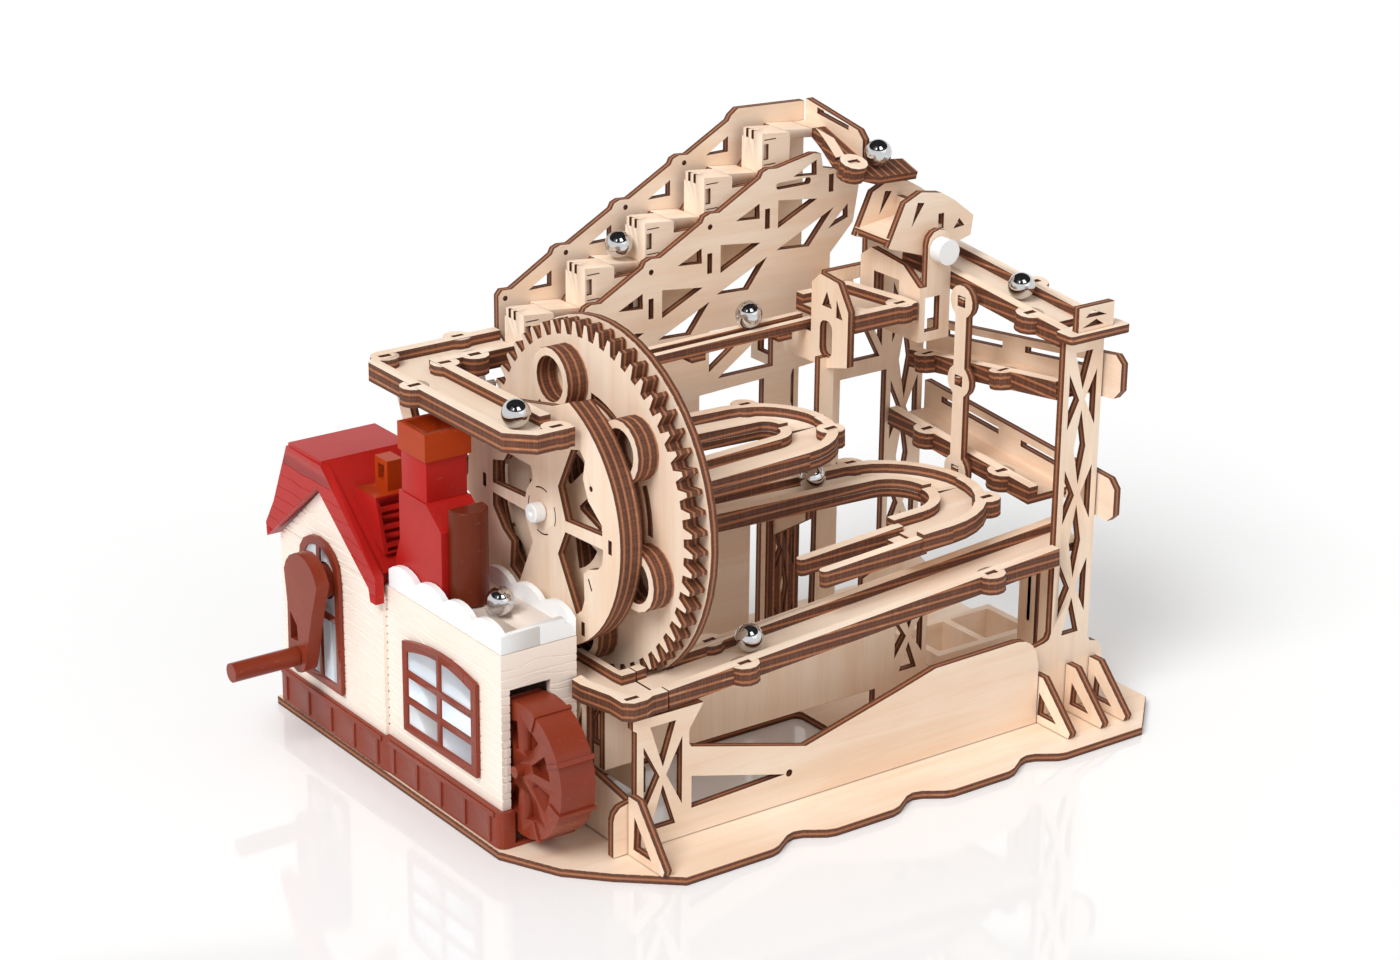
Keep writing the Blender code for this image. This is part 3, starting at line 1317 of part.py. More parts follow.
def build_trusses():
    """Front truss, cut short at its foot and tied to the back truss, which rises above the steps."""
    x1 = step_left(1)
    x4 = step_left(STEPS - 1)
    z4 = step_top(STEPS - 2)
    leg = 12.0
    outline = [(x1 - 3.0, step_top(0) - 24.0)] + knees(1, -13.2 + TREAD_FALL / 2)
    outline += [
        (x4 + 20.0, z4 + 2.8), (x4 + 23.4, z4 + 2.2), (x4 + 24.4, z4 - 3.0), (x4 + 33.0, z4 - 5.0),
        (x4 + 41.0, z4 - 10.0),
    ]
    outline += [
        (x4 + 38.5, z4 - 25.0), (x4 + 28.5, z4 - 35.0), (x4 + 28.0, TRUSS_LOW + 2.0),
        (x4 + leg, TRUSS_LOW + 1.0),
    ]
    outline += [
        (x4 + leg, DECK), (x4, DECK), (x4, TRUSS_LOW), (88.0, TRUSS_LOW - 1.0), (88.0, DECK),
        (76.0, DECK), (76.0, TRUSS_LOW - 2.0), (50.0, TRUSS_LOW + 2.0),
    ]
    holes = [*front_windows(1)[:3], *front_windows(2), *front_windows(3), *front_windows(4)[::2]]
    holes += [[(x4 + 4.7, z4 - 29.9), (x4 + 18.8, z4 - 30.9), (x4 + 29.3, z4 - 18.5)]]
    holes += [rounded_rectangle(x4 + 4.0, z4 - 8.0, x4 + 19.0, z4 - 5.6, 1.0, 2)]
    holes += [[(x4 + 27.5, z4 - 25.7), (x4 + 36.0, z4 - 23.0), (x4 + 35.8, z4 - 18.0)]]
    holes += [rectangle(x4 + 27.2, z4 - 12.4, x4 + 29.2, z4 - 6.0)]
    holes += lattice(78.2, 85.8, 16.0, TRUSS_LOW - 12.0, 3, 1.6)
    holes += [
        [(96.0, TRUSS_LOW + 4.0), (120.0, TRUSS_LOW + 4.0), (120.0, TRUSS_LOW + 20.0)],
        [(92.0, TRUSS_LOW + 7.0), (114.0, TRUSS_LOW + 22.0), (92.0, TRUSS_LOW + 22.0)],
    ]
    y = STAIR_FRONT
    truss = plate("Y", y, y + PLY, outline, holes)
    cam_y, cam_z = cam_shaft_place()
    tie_y0 = STAIR_FRONT + PLY - 1
    tie_y1 = BACK_TRUSS_FRONT - GAP
    outline = rectangle(tie_y0, TRUSS_LOW + 1.0, tie_y1, TRUSS_LOW + 18.0)
    opening = rectangle(tie_y0 + 4, TRUSS_LOW + 5.0, tie_y1 - 4, TRUSS_LOW + 14.0)
    right_tie = plate("X", x4 + 8.0, x4 + 8.0 + PLY, outline, [opening])
    tie_left = CAM_LEFT + 11.0
    bearing = plate(
        "X", tie_left, tie_left + PLY,
        [(tie_y0, 98.0), (cam_y + 7.0, 104.0), (cam_y + 7.0, 121.0), (tie_y0, 121.0)],
        [circle(cam_y, cam_z, SHAFT_RADIUS + RUN, 12)],
    )
    piece("stair_truss_front", union(truss, right_tie, bearing), ply())

    left = STEP_START
    right = 146.4
    under = cam_z + CAM_RADIUS + LIFT_TRAVEL / 2 + CAM_HEADROOM
    guard = step_top(4) + 5.5
    outline = [
        (left, step_top(0) - 10.0), (left, step_top(0) + 2.6), (left + 1.6, step_top(0) + 4.4),
        (left + 5.4, step_top(0) + 4.2),
    ] + knees(1, 4.4)[:-3]
    outline += [(x4 - 2.0, guard - 2.2), (x4 + 1.0, guard), (right, guard - 1.3)]
    outline += [
        (right, DECK), (right - leg, DECK), (right - leg, STEP_TOP + 1.4), (92.0, under + 1.0),
        (40.0, under),
    ]
    outline += [(40.0, DECK), (28.0, DECK), (28.0, STEP_TOP - 24.6)]
    holes = []
    for k in range(4):
        x, z = step_left(k), step_top(k)
        holes.append([(x + 12.0, z + 2.6), (x + 21.5, z + 2.6), (x + 21.5, z + 8.2)])
        holes.append([(x + 8.0, z - 3.0), (x + 8.0, z - 11.0), (x + 20.0, z - 3.0)])
    holes += lattice(right - 9.8, right - 2.2, 16.0, STEP_TOP - 8.6, 4, 1.6)
    holes += lattice(30.2, 37.8, 16.0, STEP_TOP - 28.6, 3, 1.6)
    y = BACK_TRUSS_FRONT
    piece("stair_truss_back", plate("Y", y, y + PLY, outline, holes), ply())
    build_platform()


PLATFORM_FALL = 0.33
PLATFORM_FRONT = 78.0
PLATFORM_EDGE = 113.0
LANDING_RIGHT = 162.0


def platform_top(y):
    """Height of the top platform's surface at this Y."""
    level = step_top(STEPS - 1) - TREAD_FALL - 0.2
    return level - PLATFORM_FALL * max(0.0, PLATFORM_EDGE - y)


def build_platform():
    """Top platform beyond the last step: a level part, a sloping part, its guard and landing."""
    x0, x1 = step_left(STEPS) + GAP, 147.0
    back = BACK_TRUSS_FRONT - GAP
    level = platform_top(PLATFORM_EDGE) - PLY
    front = PLATFORM_FRONT
    edge = PLATFORM_EDGE + 0.6
    floor = [
        (x0, edge), (x0 - 1.6, 105.0), (x0 - 5.0, 93.0), (x0 - 3.0, front + 7), (x0 + 4.0, front + 1),
        (LANDING_RIGHT, front), (LANDING_RIGHT, front + 9.0), (x1, front + 12.0), (x1, edge),
    ]
    rail = [(x0, 112.0), (x0 - 1.4, 104.9), (x0 - 4.8, 93.0), (x0 - 0.8, 93.0), (x0 + 2.4, 104.0)]
    body = channel(
        floor, [], level, [(x0 - 2.6, front + 8.0)], (),
        [plate("Z", level + 1, level + PLY + 1.2, rail)],
    )
    body = tilt(body, "X", (0, PLATFORM_EDGE, level + PLY), slope(PLATFORM_FALL, 1))
    flat = block(x0 + 0.1, PLATFORM_EDGE - 0.6, level - 0.05, x1 - 0.1, back, level + PLY)
    guard_left = x1 - 0.2
    top = level + PLY + 7.8
    outline = [
        (back, level + 1.0), (back, top), (95.0, top - 5.0), (92.0, top - 8.0),
        (92.0, platform_top(92.0) - 2.0), (104.0, platform_top(104.0) - 2.0),
    ]
    slot = [(100.0, top - 6.2), (118.0, top - 4.0), (118.0, top - 1.8), (100.0, top - 4.0)]
    guard = plate("X", guard_left, guard_left + PLY, outline, [slot])
    piece("top_platform", union(body, flat, guard), ply())


# Left branch: tray behind the bucket, gate, straight track


def build_left_branch():
    """The tray that catches balls from the bucket, its gate bracket and the two-bar straight track."""
    level = 134.8
    x0, x1 = 123.3, 151.0
    y0, y1 = 64.0, 97.5
    w = RAIL_WIDTH
    floor = [(x0, y0), (x1, y0), (x1, y0 + 8), (146.0, y1), (x0, y1)]
    rails = [
        [(x0, y0), (x1, y0), (x1, y0 + w), (x0 + 8, y0 + w), (x0 + w, 84.0), (x0, 84.0)],
        [(x1 - w, y0 + w), (x1, y0), (x1, y0 + 8), (146.0, y1), (x0, y1), (x0, y1 - w), (143.0, y1 - w)],
    ]
    piece("left_tray", channel(floor, rails, level, [(x1 - 5.5, y0 + 3.5)]), ply())
    outline = [
        (64.0, 123.0), (75.0, 120.0), (100.0, 120.0), (100.0, 130.8), (84.5, 130.8), (84.5, 149.0),
        (80.0, 153.0), (70.0, 152.0), (64.0, 143.0),
    ]
    slot = rounded_rectangle(72.5, 123.5, 79.5, 137.0, 3.0, 3)
    windows = [[(73.0, 142.0), (78.5, 142.0), (76.0, 147.5)], [(67.0, 139.5), (70.5, 139.5), (70.5, 146.0)]]
    gate = plate("X", 120.0, 123.0, outline, [slot, *windows])
    post_y = LOWER_LOOP[2] + 1.0
    foot = [(116.0, DECK), (126.0, DECK), (123.0, 12.0), (123.0, 124.0), (117.0, 124.0), (117.0, 12.0)]
    piece("gate", union(gate, plate("Y", post_y, post_y + PLY, foot)), ply())
    bar_left, bar_right = guard_left() + PLY + GAP, x0 - GAP
    solids = []
    for y in (86.5, 93.0):
        solids.append(block(bar_left, y, 131.2, bar_right, y + PLY, 134.6))
    for x in (bar_left + 12.0, 70.0, bar_right - 16.0):
        solids.append(block(x, 86.0, 129.0, x + 6.0, 96.5, 131.6))
    bars = union(solids[0], *solids[1:])
    piece("straight_track", tilt(bars, "Y", (bar_right, 90.0, 134.0), -1.0), ply())


# Loops


def u_outline(x0, y0, y1, turn_x, radius, steps=10):
    """A long U-shaped outline open to the left, rounded at the right."""
    middle = (y0 + y1) / 2
    return [(x0, y0)] + arc(turn_x, middle, radius, -90, 90, steps) + [(x0, y1)]


def loop_half(x0, y0, y1, right, level, far, fall, ears):
    """Half of a U-shaped loop, a straight branch and half of the turn, sloping about the right end."""
    radius = (y1 - y0) / 2
    middle = (y0 + y1) / 2
    turn = right - radius
    w = RAIL_WIDTH
    inner = radius - LOOP_WIDTH
    sign = 1 if far else -1

    def turned(reach, past):
        """The half turn at this radius, from a little past the seam to the straight branch."""
        return arc(turn, middle, reach, -sign * past, sign * 90.0, 8)

    edge = middle + sign * radius
    inside = middle + sign * inner
    start = x0 + 0.2
    floor = turned(radius, 1.0) + [(x0, edge), (x0, inside)] + turned(inner, 1.0)[::-1]
    rails = [
        turned(radius - EAR_SHY, 0.7) + [
            (start, edge - sign * EAR_SHY), (start, edge - sign * w),
        ] + turned(radius - w, 0.7)[::-1],
        turned(inner + w, 0.7) + [
            (start, inside + sign * w), (start, inside + sign * EAR_SHY),
        ] + turned(inner + EAR_SHY, 0.7)[::-1],
    ]
    body = channel(floor, rails, level, ears)
    return tilt(body, "Y", (right, middle, level), fall)


LOOP_WIDTH = 20.0
LOOP_FALL = 2.0
UPPER_LOOP = (20.0, 42.0, 92.0, 113.0)
LOWER_LOOP = (20.0, 10.0, 74.0, 157.0)
UPPER_LOOP_LEVEL = 100.0
LOWER_LOOP_LEVEL = 76.0
PRONG_START = 112.0
PRONG_LENGTH = 40.0
PRONG_WIDTH = 3.6


def loop_under(loop, level, x):
    """Underside of a loop's far half at this X."""
    return level + math.tan(math.radians(LOOP_FALL)) * (loop[3] - x)


def build_loops():
    """Two U-shaped loops of two sloping halves each. The lower one ends in a two-pronged ramp."""
    x0, y0, y1, right = UPPER_LOOP
    far = loop_half(x0, y0, y1, right, UPPER_LOOP_LEVEL, True, LOOP_FALL, [(96.0, y1 - 1.5)])
    near = loop_half(x0 + 10.0, y0, y1, right, UPPER_LOOP_LEVEL, False, -LOOP_FALL, [(right - 5.5, 56.0)])
    piece("upper_loop", union(far, near), ply())
    x0, y0, y1, right = LOWER_LOOP
    far = loop_half(x0, y0, y1, right, LOWER_LOOP_LEVEL, True, LOOP_FALL, [(130.0, y1 - 0.6)])
    near = loop_half(PRONG_START, y0, y1, right, LOWER_LOOP_LEVEL, False, -LOOP_FALL, [(right - 6.5, 23.0)])
    low = LOWER_LOOP_LEVEL - 2.6
    start = PRONG_START + 2.0
    tip = PRONG_START - PRONG_LENGTH
    w = PRONG_WIDTH
    prongs = []
    for side in (y0 + 0.6, y0 + 13.0):
        prongs.append(
            plate(
                "Z", low, low + 2 * PLY,
                [(start, side), (start, side + w)] + arc(tip, side + w / 2, w / 2, 90, 270, 4),
            )
        )
    tie = block(PRONG_START - 5.0, y0 + 1.0, low, PRONG_START + 1.0, y0 + 14.0, low + PLY)
    ramp = tilt(union(tie, *prongs), "Y", (PRONG_START, y0, low), -3.4)
    piece("lower_loop", union(far, near, ramp), ply())
    build_loop_posts()


def build_loop_posts():
    """Posts that carry the loops and the panel behind the lower loop."""
    y = LOWER_LOOP[2] + 1.0
    left, right = 97.0, 109.5
    high = UPPER_LOOP_LEVEL - GAP
    outline = [
        (left - 3.0, DECK), (right + 3.0, DECK), (right + 3.0, 9.0), (right, 14.0), (right, high),
        (left, high), (left, 14.0), (left - 3.0, 9.0),
    ]
    post = plate("Y", y, y + PLY, outline, lattice(left + 2.2, right - 2.2, 14.0, 98.0, 3, 2.0))
    under = loop_under(LOWER_LOOP, LOWER_LOOP_LEVEL, left + 1.0 + PLY)
    arm = plate(
        "X", left + 1.0, left + 1.0 + PLY,
        [(y + 1, under - 16.0), (y + 1, under - 0.6), (y - 18.0, under - 0.6), (y - 18.0, under - 4.0)],
    )
    piece("loop_post", union(post, arm), ply())
    outline = [
        (24.0, DECK), (30.0, DECK), (30.0, 22.0), (82.0, 22.0), (82.0, DECK), (88.0, DECK),
        (88.0, 70.0), (84.0, 74.0), (72.0, 74.0), (68.0, 66.0), (48.0, 66.0), (44.0, 76.0),
        (24.0, 76.0),
    ]
    holes = [rounded_rectangle(34.0, 30.0, 62.0, 56.0, 2, 2)]
    piece("loop_panel", plate("Y", y, y + PLY, outline, holes), ply())


# Right side: back frame, ramps, upper right track, link


def build_back_frame():
    """Lattice frame at the back right, with the tall post that holds the bucket's back pivot."""
    y = BACK_FRAME_Y
    left = 137.0
    outline = [
        (left - 3.0, DECK), (left + 10.0, DECK), (left + 7.5, 12.0), (left + 7.5, POST_SHOULDER - 42.0),
        (TOWER_LEFT, POST_SHOULDER - 42.0), (TOWER_LEFT, 30.0), (TOWER_LEFT - 3.0, 26.0),
        (TOWER_LEFT - 8.0, 24.0), (TOWER_LEFT - 8.0, DECK), (TOWER_RIGHT + 6.0, DECK),
        (TOWER_RIGHT + 6.0, 22.0), (TOWER_RIGHT, 29.0), (TOWER_RIGHT, POST_SHOULDER),
        (TOWER_RIGHT - 6.0, POST_SHOULDER + 4.0), (PIVOT_X + 5.0, POST_SHOULDER + 4.0),
        (PIVOT_X + 5.0, PIVOT_Z + 2.0),
    ] + arc(PIVOT_X, PIVOT_Z + 2.0, 5.0, 0, 180, 6)[1:] + [(
        PIVOT_X - 5.0, POST_SHOULDER,
    ), (left, POST_SHOULDER)]
    holes = lattice(TOWER_LEFT + 2.5, TOWER_RIGHT - 2.5, 32.0, POST_SHOULDER - 2.0, 3)
    holes.append(
        [(148.0, POST_SHOULDER - 36.0), (162.0, POST_SHOULDER - 36.0), (148.0, POST_SHOULDER - 10.0)]
    )
    holes.append(
        [(163.0, POST_SHOULDER - 32.0), (163.0, POST_SHOULDER - 4.0), (149.0, POST_SHOULDER - 5.0)]
    )
    holes += [circle(PIVOT_X, PIVOT_Z, SHAFT_RADIUS + RUN, 12)]
    piece("back_frame", plate("Y", y, y + PLY, outline, holes), ply())


def ramp_body(name, fall, y0, y1, ear_places, drop):
    """A ramp along Y between the two towers: floor, one rail and its tab for the link."""
    rate = fall / (BACK_FRAME_Y - 6.6)
    x0 = RAMP_LEFT
    x1 = RAMP_LEFT + RAIL_WIDTH + CHANNEL
    floor = rectangle(x0, y0, x1, y1)
    rails = [rectangle(x0, y0, x0 + RAIL_WIDTH, y1)]
    ears = [(x0 + 0.8, place) for place in ear_places]
    tab = block(x0 - 6.4, LINK_Y - 1.4, drop, x0 + 2.0, LINK_Y + 1.4, drop + 2.4)
    body = channel(floor, rails, drop, ears, (), [tab])
    angle = slope(rate, 1)
    body = tilt(body, "X", (0, LINK_Y, drop), -angle)
    piece(name, union(body, backboard(rate, drop, x1 - BITE)), ply())


LINK_Y = 51.5


def backboard(rate, level, x):
    """The slotted board on a ramp's outer side, parallel to the ramp, with round ends."""
    def at(y, up):
        return (y, level + rate * (LINK_Y - y) + up)

    front, back = -5.0, BACK_FRAME_Y - GAP
    high = 13.2
    outline = [
        at(front + 3, -1.5), at(20.0, -1.5), at(back, -1.5), at(back, high), at(20.0, high),
        at(10.0, high + 1.0), at(front + 3, high + 1.0), at(front, high - 2.0), at(front, 1.5),
    ]
    slots = []
    for start, end in ((12.0, 44.0), (56.0, 88.0)):
        slots.append([at(start, 8.2), at(end, 8.2), at(end, 10.6), at(start, 10.6)])
    return plate("X", x, x + PLY, outline, slots)


RAMP_B_SHARE = 29.6 / 63.0
RAMP_B_LEVEL = FRONT_TRACK_LEFT_LEVEL + RAMP_B_SHARE * (RAMP_A_LEVEL - FRONT_TRACK_LEFT_LEVEL)


def build_ramps():
    """Two zigzag ramps and their backboards, the upper right track, and the strip that links them."""
    ramp_body("ramp_upper", 12.0, 6.9, 86.0, (35.0, 76.0), RAMP_A_LEVEL)
    ramp_body("ramp_lower", -7.5, 19.0, BACK_FRAME_Y - 1.0, (35.0, 76.0), RAMP_B_LEVEL)

    x0 = RAMP_LEFT
    x1 = x0 + TRACK_WIDTH
    y0, y1 = 19.0, 92.0
    lip = PLY + GAP + 0.2
    floor = [
        (x0, lip + 3.6), (x0 + RAIL_WIDTH, lip + 3.6), (x0 + RAIL_WIDTH, y0), (x1 - RAIL_WIDTH, y0),
        (x1 - RAIL_WIDTH, lip + 3.6), (x1, lip + 3.6), (x1, y1), (x0, y1),
    ]
    rails = [rectangle(x0, lip + 3.6, x0 + RAIL_WIDTH, y1), rectangle(x1 - RAIL_WIDTH, lip + 3.6, x1, y1)]
    tab = block(x0 - 6.4, LINK_Y - 1.4, UPPER_RIGHT_LEVEL, x0 + 2.0, LINK_Y + 1.4, UPPER_RIGHT_LEVEL + 2.4)
    ears = [(x0 + 0.8, 73.5), (x0 + 0.8, 24.0), (x1 - 0.8, 45.0)]
    body = channel(floor, rails, UPPER_RIGHT_LEVEL, ears, (), [tab])
    piece("upper_right_track", tilt(body, "X", (0, LINK_Y, UPPER_RIGHT_LEVEL), UPPER_RIGHT_TILT), ply())

    cap_low = TOWER_HEIGHT + GAP
    cap = rounded_rectangle(163.0, -2.0, 190.0, lip + 3.0, 1.5, 2)
    cap_plate = plate("Z", cap_low, cap_low + PLY, cap)
    gate_low = cap_low + PLY - BITE
    outline = rectangle(168.0, gate_low, 184.0, gate_low + 9.0)
    holes = [
        [(170.5, gate_low + 1.8), (179.0, gate_low + 1.8), (176.0, gate_low + 3.8)],
        [(171.5, gate_low + 5.2), (180.0, gate_low + 5.0), (174.0, gate_low + 7.4)],
    ]
    piece("tower_cap", union(cap_plate, plate("Y", 0.4, 0.4 + PLY, outline, holes)), ply())

    eyes = (UPPER_RIGHT_LEVEL + 1.2, RAMP_A_LEVEL + 1.2, RAMP_B_LEVEL + 1.2)
    x = RAMP_LEFT - 6.0
    solids = [plate("X", x, x + PLY, rectangle(LINK_Y - 3.0, eyes[2], LINK_Y + 3.0, eyes[0]))]
    solids += [plate("X", x, x + PLY, circle(LINK_Y, eye, 6.0, 16, 11.25)) for eye in eyes]
    windows = [block(x - 1, LINK_Y - 1.9, eye - 1.8, x + PLY + 1, LINK_Y + 1.9, eye + 1.8) for eye in eyes]
    piece("track_link", cut(union(*solids), *windows), ply())


def build_bucket():
    """Tipping bucket on its pin between the front post and the back frame."""
    x, z = PIVOT_X, PIVOT_Z
    side = [
        (x - 19.0, z + 2.0), (x - 8.0, z - 1.5), (x, z - 4.0), (x + 8.0, z - 1.5), (x + 18.0, z + 1.0),
        (x + 19.0, z + 8.0), (x + 10.0, z + 15.0), (x + 4.0, z + 18.5), (x - 5.0, z + 20.0),
        (x - 12.0, z + 17.0),
    ]
    windows = [
        [(x - 9.0, z + 8.0), (x - 3.5, z + 16.0), (x - 6.5, z + 16.5)],
        rectangle(x + 3.0, z + 5.5, x + 5.5, z + 11.0),
        [(x + 10.0, z + 4.5), (x + 15.0, z + 5.0), (x + 12.5, z + 8.0)],
    ]
    front = plate("Y", BUCKET_FRONT, BUCKET_FRONT + PLY, side, windows)
    back = plate("Y", BUCKET_BACK - PLY, BUCKET_BACK, side, windows)
    inner0, inner1 = BUCKET_FRONT + 1, BUCKET_BACK - 1
    floor = [
        (x - 18.0, z + 2.2), (x - 18.4, z + 4.8), (x - 1.5, z + 7.2), (x - 1.2, z + 14.0),
        (x + 1.2, z + 14.0), (x + 1.5, z + 7.2), (x + 17.8, z + 4.6), (x + 17.4, z + 2.0), (x, z + 4.0),
    ]
    trough = plate("Y", inner0, inner1, floor)
    pin = rod("Y", POST_FRONT - 2.0, BACK_FRAME_Y + PLY - 0.2, x, z, SHAFT_RADIUS, 12)
    cap = rod("Y", POST_FRONT - 5.5, POST_FRONT - GAP, x, z, 4.6)
    piece("tipping_bucket", union(front, back, trough, pin, cap), ply(), (x, BUCKET_FRONT, z))
    left, right = x - 8.0, RAMP_LEFT - 0.4
    outline = [(left, POST_LOW), (right, POST_LOW), (right, z - 8.0), (x + 5.0, z - 6.0)]
    outline += arc(x, z + 2.0, 5.0, 0, 180, 6)[1:] + [(x - 5.0, POST_SHOULDER), (left, POST_SHOULDER)]
    window = rectangle(left + 2.5, POST_LOW + 3.5, left + 9.0, POST_SHOULDER - 4.0)
    post = plate("Y", POST_FRONT, POST_FRONT + PLY, outline, [window, circle(x, z, SHAFT_RADIUS + RUN, 12)])
    near, far = POST_FRONT + 1, BACK_FRAME_Y - GAP
    outline = [
        (near, POST_LOW), (far, POST_LOW), (far, POST_SHOULDER + 4.0),
        (92.0, POST_SHOULDER + 8.0), (74.0, POST_SHOULDER + 6.0), (near, POST_SHOULDER),
    ]
    frame = plate("X", left, left + PLY, outline, [rectangle(76.0, POST_LOW + 8.0, 90.0, POST_SHOULDER)])
    piece("bucket_post", union(post, frame), ply())


# Steel balls


def on_floor(x, y, floor, fall=0.0):
    """A ball just clear of a floor that has this height below the ball and falls at this rate."""
    return x, y, floor + BALL_RADIUS * math.hypot(1, fall) + GAP


def on_gap(x, y, floor, gap):
    """A ball just clear of the two edges of a gap this wide."""
    return x, y, floor + math.sqrt(BALL_RADIUS**2 - gap**2 / 4) + GAP


def build_balls():
    """The loose steel balls, each where it lies on a track, a step or the terrace."""
    fall = TREAD_FALL / STEP_RUN
    step_x = step_left(2) - BALL_RADIUS - 0.8
    step_floor = step_top(1) - fall * (step_x - BALL_RADIUS - step_left(1))
    upper_fall = math.tan(math.radians(UPPER_RIGHT_TILT))
    lower = loop_under(LOWER_LOOP, LOWER_LOOP_LEVEL, 106.0 - BALL_RADIUS) + PLY
    spots = {
        "ball_1": on_floor(-26.0, 47.0, UPPER_LEFT_LEVEL + PLY),
        "ball_2": on_floor(step_x, (CARRIER_FRONT + PLY + FIXED_PLATE_FRONT) / 2, step_floor),
        "ball_3": on_floor(149.0, 86.0, platform_top(86.0), PLATFORM_FALL),
        "ball_4": on_gap(98.0, 91.25, 134.4, 3.5),
        "ball_5": on_floor(106.0, LOWER_LOOP[2] - LOOP_WIDTH / 2, lower),
        "ball_6": on_floor(
            RAMP_LEFT + TRACK_WIDTH / 2, 40.0, UPPER_RIGHT_LEVEL + PLY - upper_fall * (LINK_Y - 40.0),
            upper_fall,
        ),
        "ball_7": on_floor(40.0, RAIL_WIDTH + CHANNEL / 2, front_track_level(44.0) + PLY),
        "ball_8": on_gap(HOUSE_LEFT + 14.7, 50.0, TERRACE_HEIGHT + PLY, 5.0),
    }
    for name, spot in spots.items():
        piece(name, ball(*spot, BALL_RADIUS), chrome(), spot)


def main():
    global ROOT
    clear_scene()
    ROOT = bpy.data.objects.new("marble_run", None)
    middle_x = (KNOB_END + BASE_RIGHT) / 2
    middle_y = (BASE_FRONT + BASE_BACK) / 2
    ROOT.location = (-middle_x * MM, -middle_y * MM, 0.0)
    bpy.context.collection.objects.link(ROOT)
    build_base()
    build_front_panel()
    build_brackets()
    build_right_tower()
    build_front_tracks()
    build_lower_frame()
    build_tray()
    build_house()
    build_crank()
    build_wheel()
    build_upper_left_track()
    build_stairs()
    build_left_branch()
    build_loops()
    build_back_frame()
    build_ramps()
    build_bucket()
    build_balls()
    bpy.context.view_layer.update()


main()
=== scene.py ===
"""Looks of the hand-cranked plywood marble run with its plastic house.

KitFrame turns them into the shared frame's metres.
"""

from __future__ import annotations

import json
import logging
import math
import zlib
from dataclasses import dataclass, field
from enum import Enum
from functools import cache, cached_property
from typing import Iterable, Sequence

import bmesh
import bpy
from mathutils import Euler, Matrix, Vector

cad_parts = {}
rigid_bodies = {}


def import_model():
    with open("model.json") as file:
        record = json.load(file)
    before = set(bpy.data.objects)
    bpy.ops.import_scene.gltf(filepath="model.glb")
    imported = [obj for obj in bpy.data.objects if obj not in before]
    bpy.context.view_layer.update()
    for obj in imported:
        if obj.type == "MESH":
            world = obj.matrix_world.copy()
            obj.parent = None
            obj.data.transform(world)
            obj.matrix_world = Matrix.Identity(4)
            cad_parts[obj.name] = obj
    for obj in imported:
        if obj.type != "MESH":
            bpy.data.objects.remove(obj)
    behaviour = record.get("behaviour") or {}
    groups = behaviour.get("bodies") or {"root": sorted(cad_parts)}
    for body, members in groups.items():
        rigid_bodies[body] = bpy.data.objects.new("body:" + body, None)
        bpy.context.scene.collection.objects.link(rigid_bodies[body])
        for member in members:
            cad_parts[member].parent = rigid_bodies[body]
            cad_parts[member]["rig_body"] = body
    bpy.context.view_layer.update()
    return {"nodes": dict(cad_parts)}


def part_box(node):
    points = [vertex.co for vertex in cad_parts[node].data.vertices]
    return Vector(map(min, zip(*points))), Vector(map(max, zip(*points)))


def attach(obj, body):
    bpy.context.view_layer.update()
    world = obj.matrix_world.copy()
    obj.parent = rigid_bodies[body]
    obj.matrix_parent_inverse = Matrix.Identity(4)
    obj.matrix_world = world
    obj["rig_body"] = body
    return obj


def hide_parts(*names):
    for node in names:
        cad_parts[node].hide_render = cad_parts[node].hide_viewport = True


LOG = logging.getLogger("marble_run")
MM = 0.001
Point = tuple[float, float, float]
Spot = tuple[float, float]
Outline = list[Spot]
Colour = tuple[float, float, float, float]
Material, Mesh, Object = bpy.types.Material, bpy.types.Mesh, bpy.types.Object
Node, Socket, Tree = bpy.types.Node, bpy.types.NodeSocket, bpy.types.NodeTree
Face, Shape = bmesh.types.BMFace, bmesh.types.BMesh

BASE_CORNER = (-48.5, -23.5, 0.0)
WHEEL_MIDDLE = (54.0, 103.0)
WATER_WHEEL_MIDDLE = (22.5, 31.0)
SHEET = 3.0


class Axis(Enum):
    """Direction that a sheet's faces look in."""

    X = 0
    Y = 1
    Z = 2
    BOXED = 3

    @property
    def vector(self) -> Vector:
        """Unit vector of this axis."""
        return Vector([1.0 if i == self.value else 0.0 for i in range(3)])


class Slot(Enum):
    """Material slots of the record."""

    PLY = "birch_ply"
    WALL = "wall_plastic"
    RED = "red_plastic"
    BROWN = "brown_plastic"
    WHITE = "white_plastic"
    STEEL = "ball_chrome"


@dataclass(frozen=True)
class KitFrame:
    origin: Vector

    def at(self, x: float, y: float, z: float) -> Vector:
        """The point in metres.

        Args:
            x: Along the front panel, mm.
            y: Back from the front panel, mm.
            z: Up from the table, mm.

        Returns:
            The point in the shared frame.
        """
        return self.origin + Vector((x, y, z)) * MM

    def back(self, point: Vector) -> Vector:
        return (point - self.origin) / MM


# Shader groups


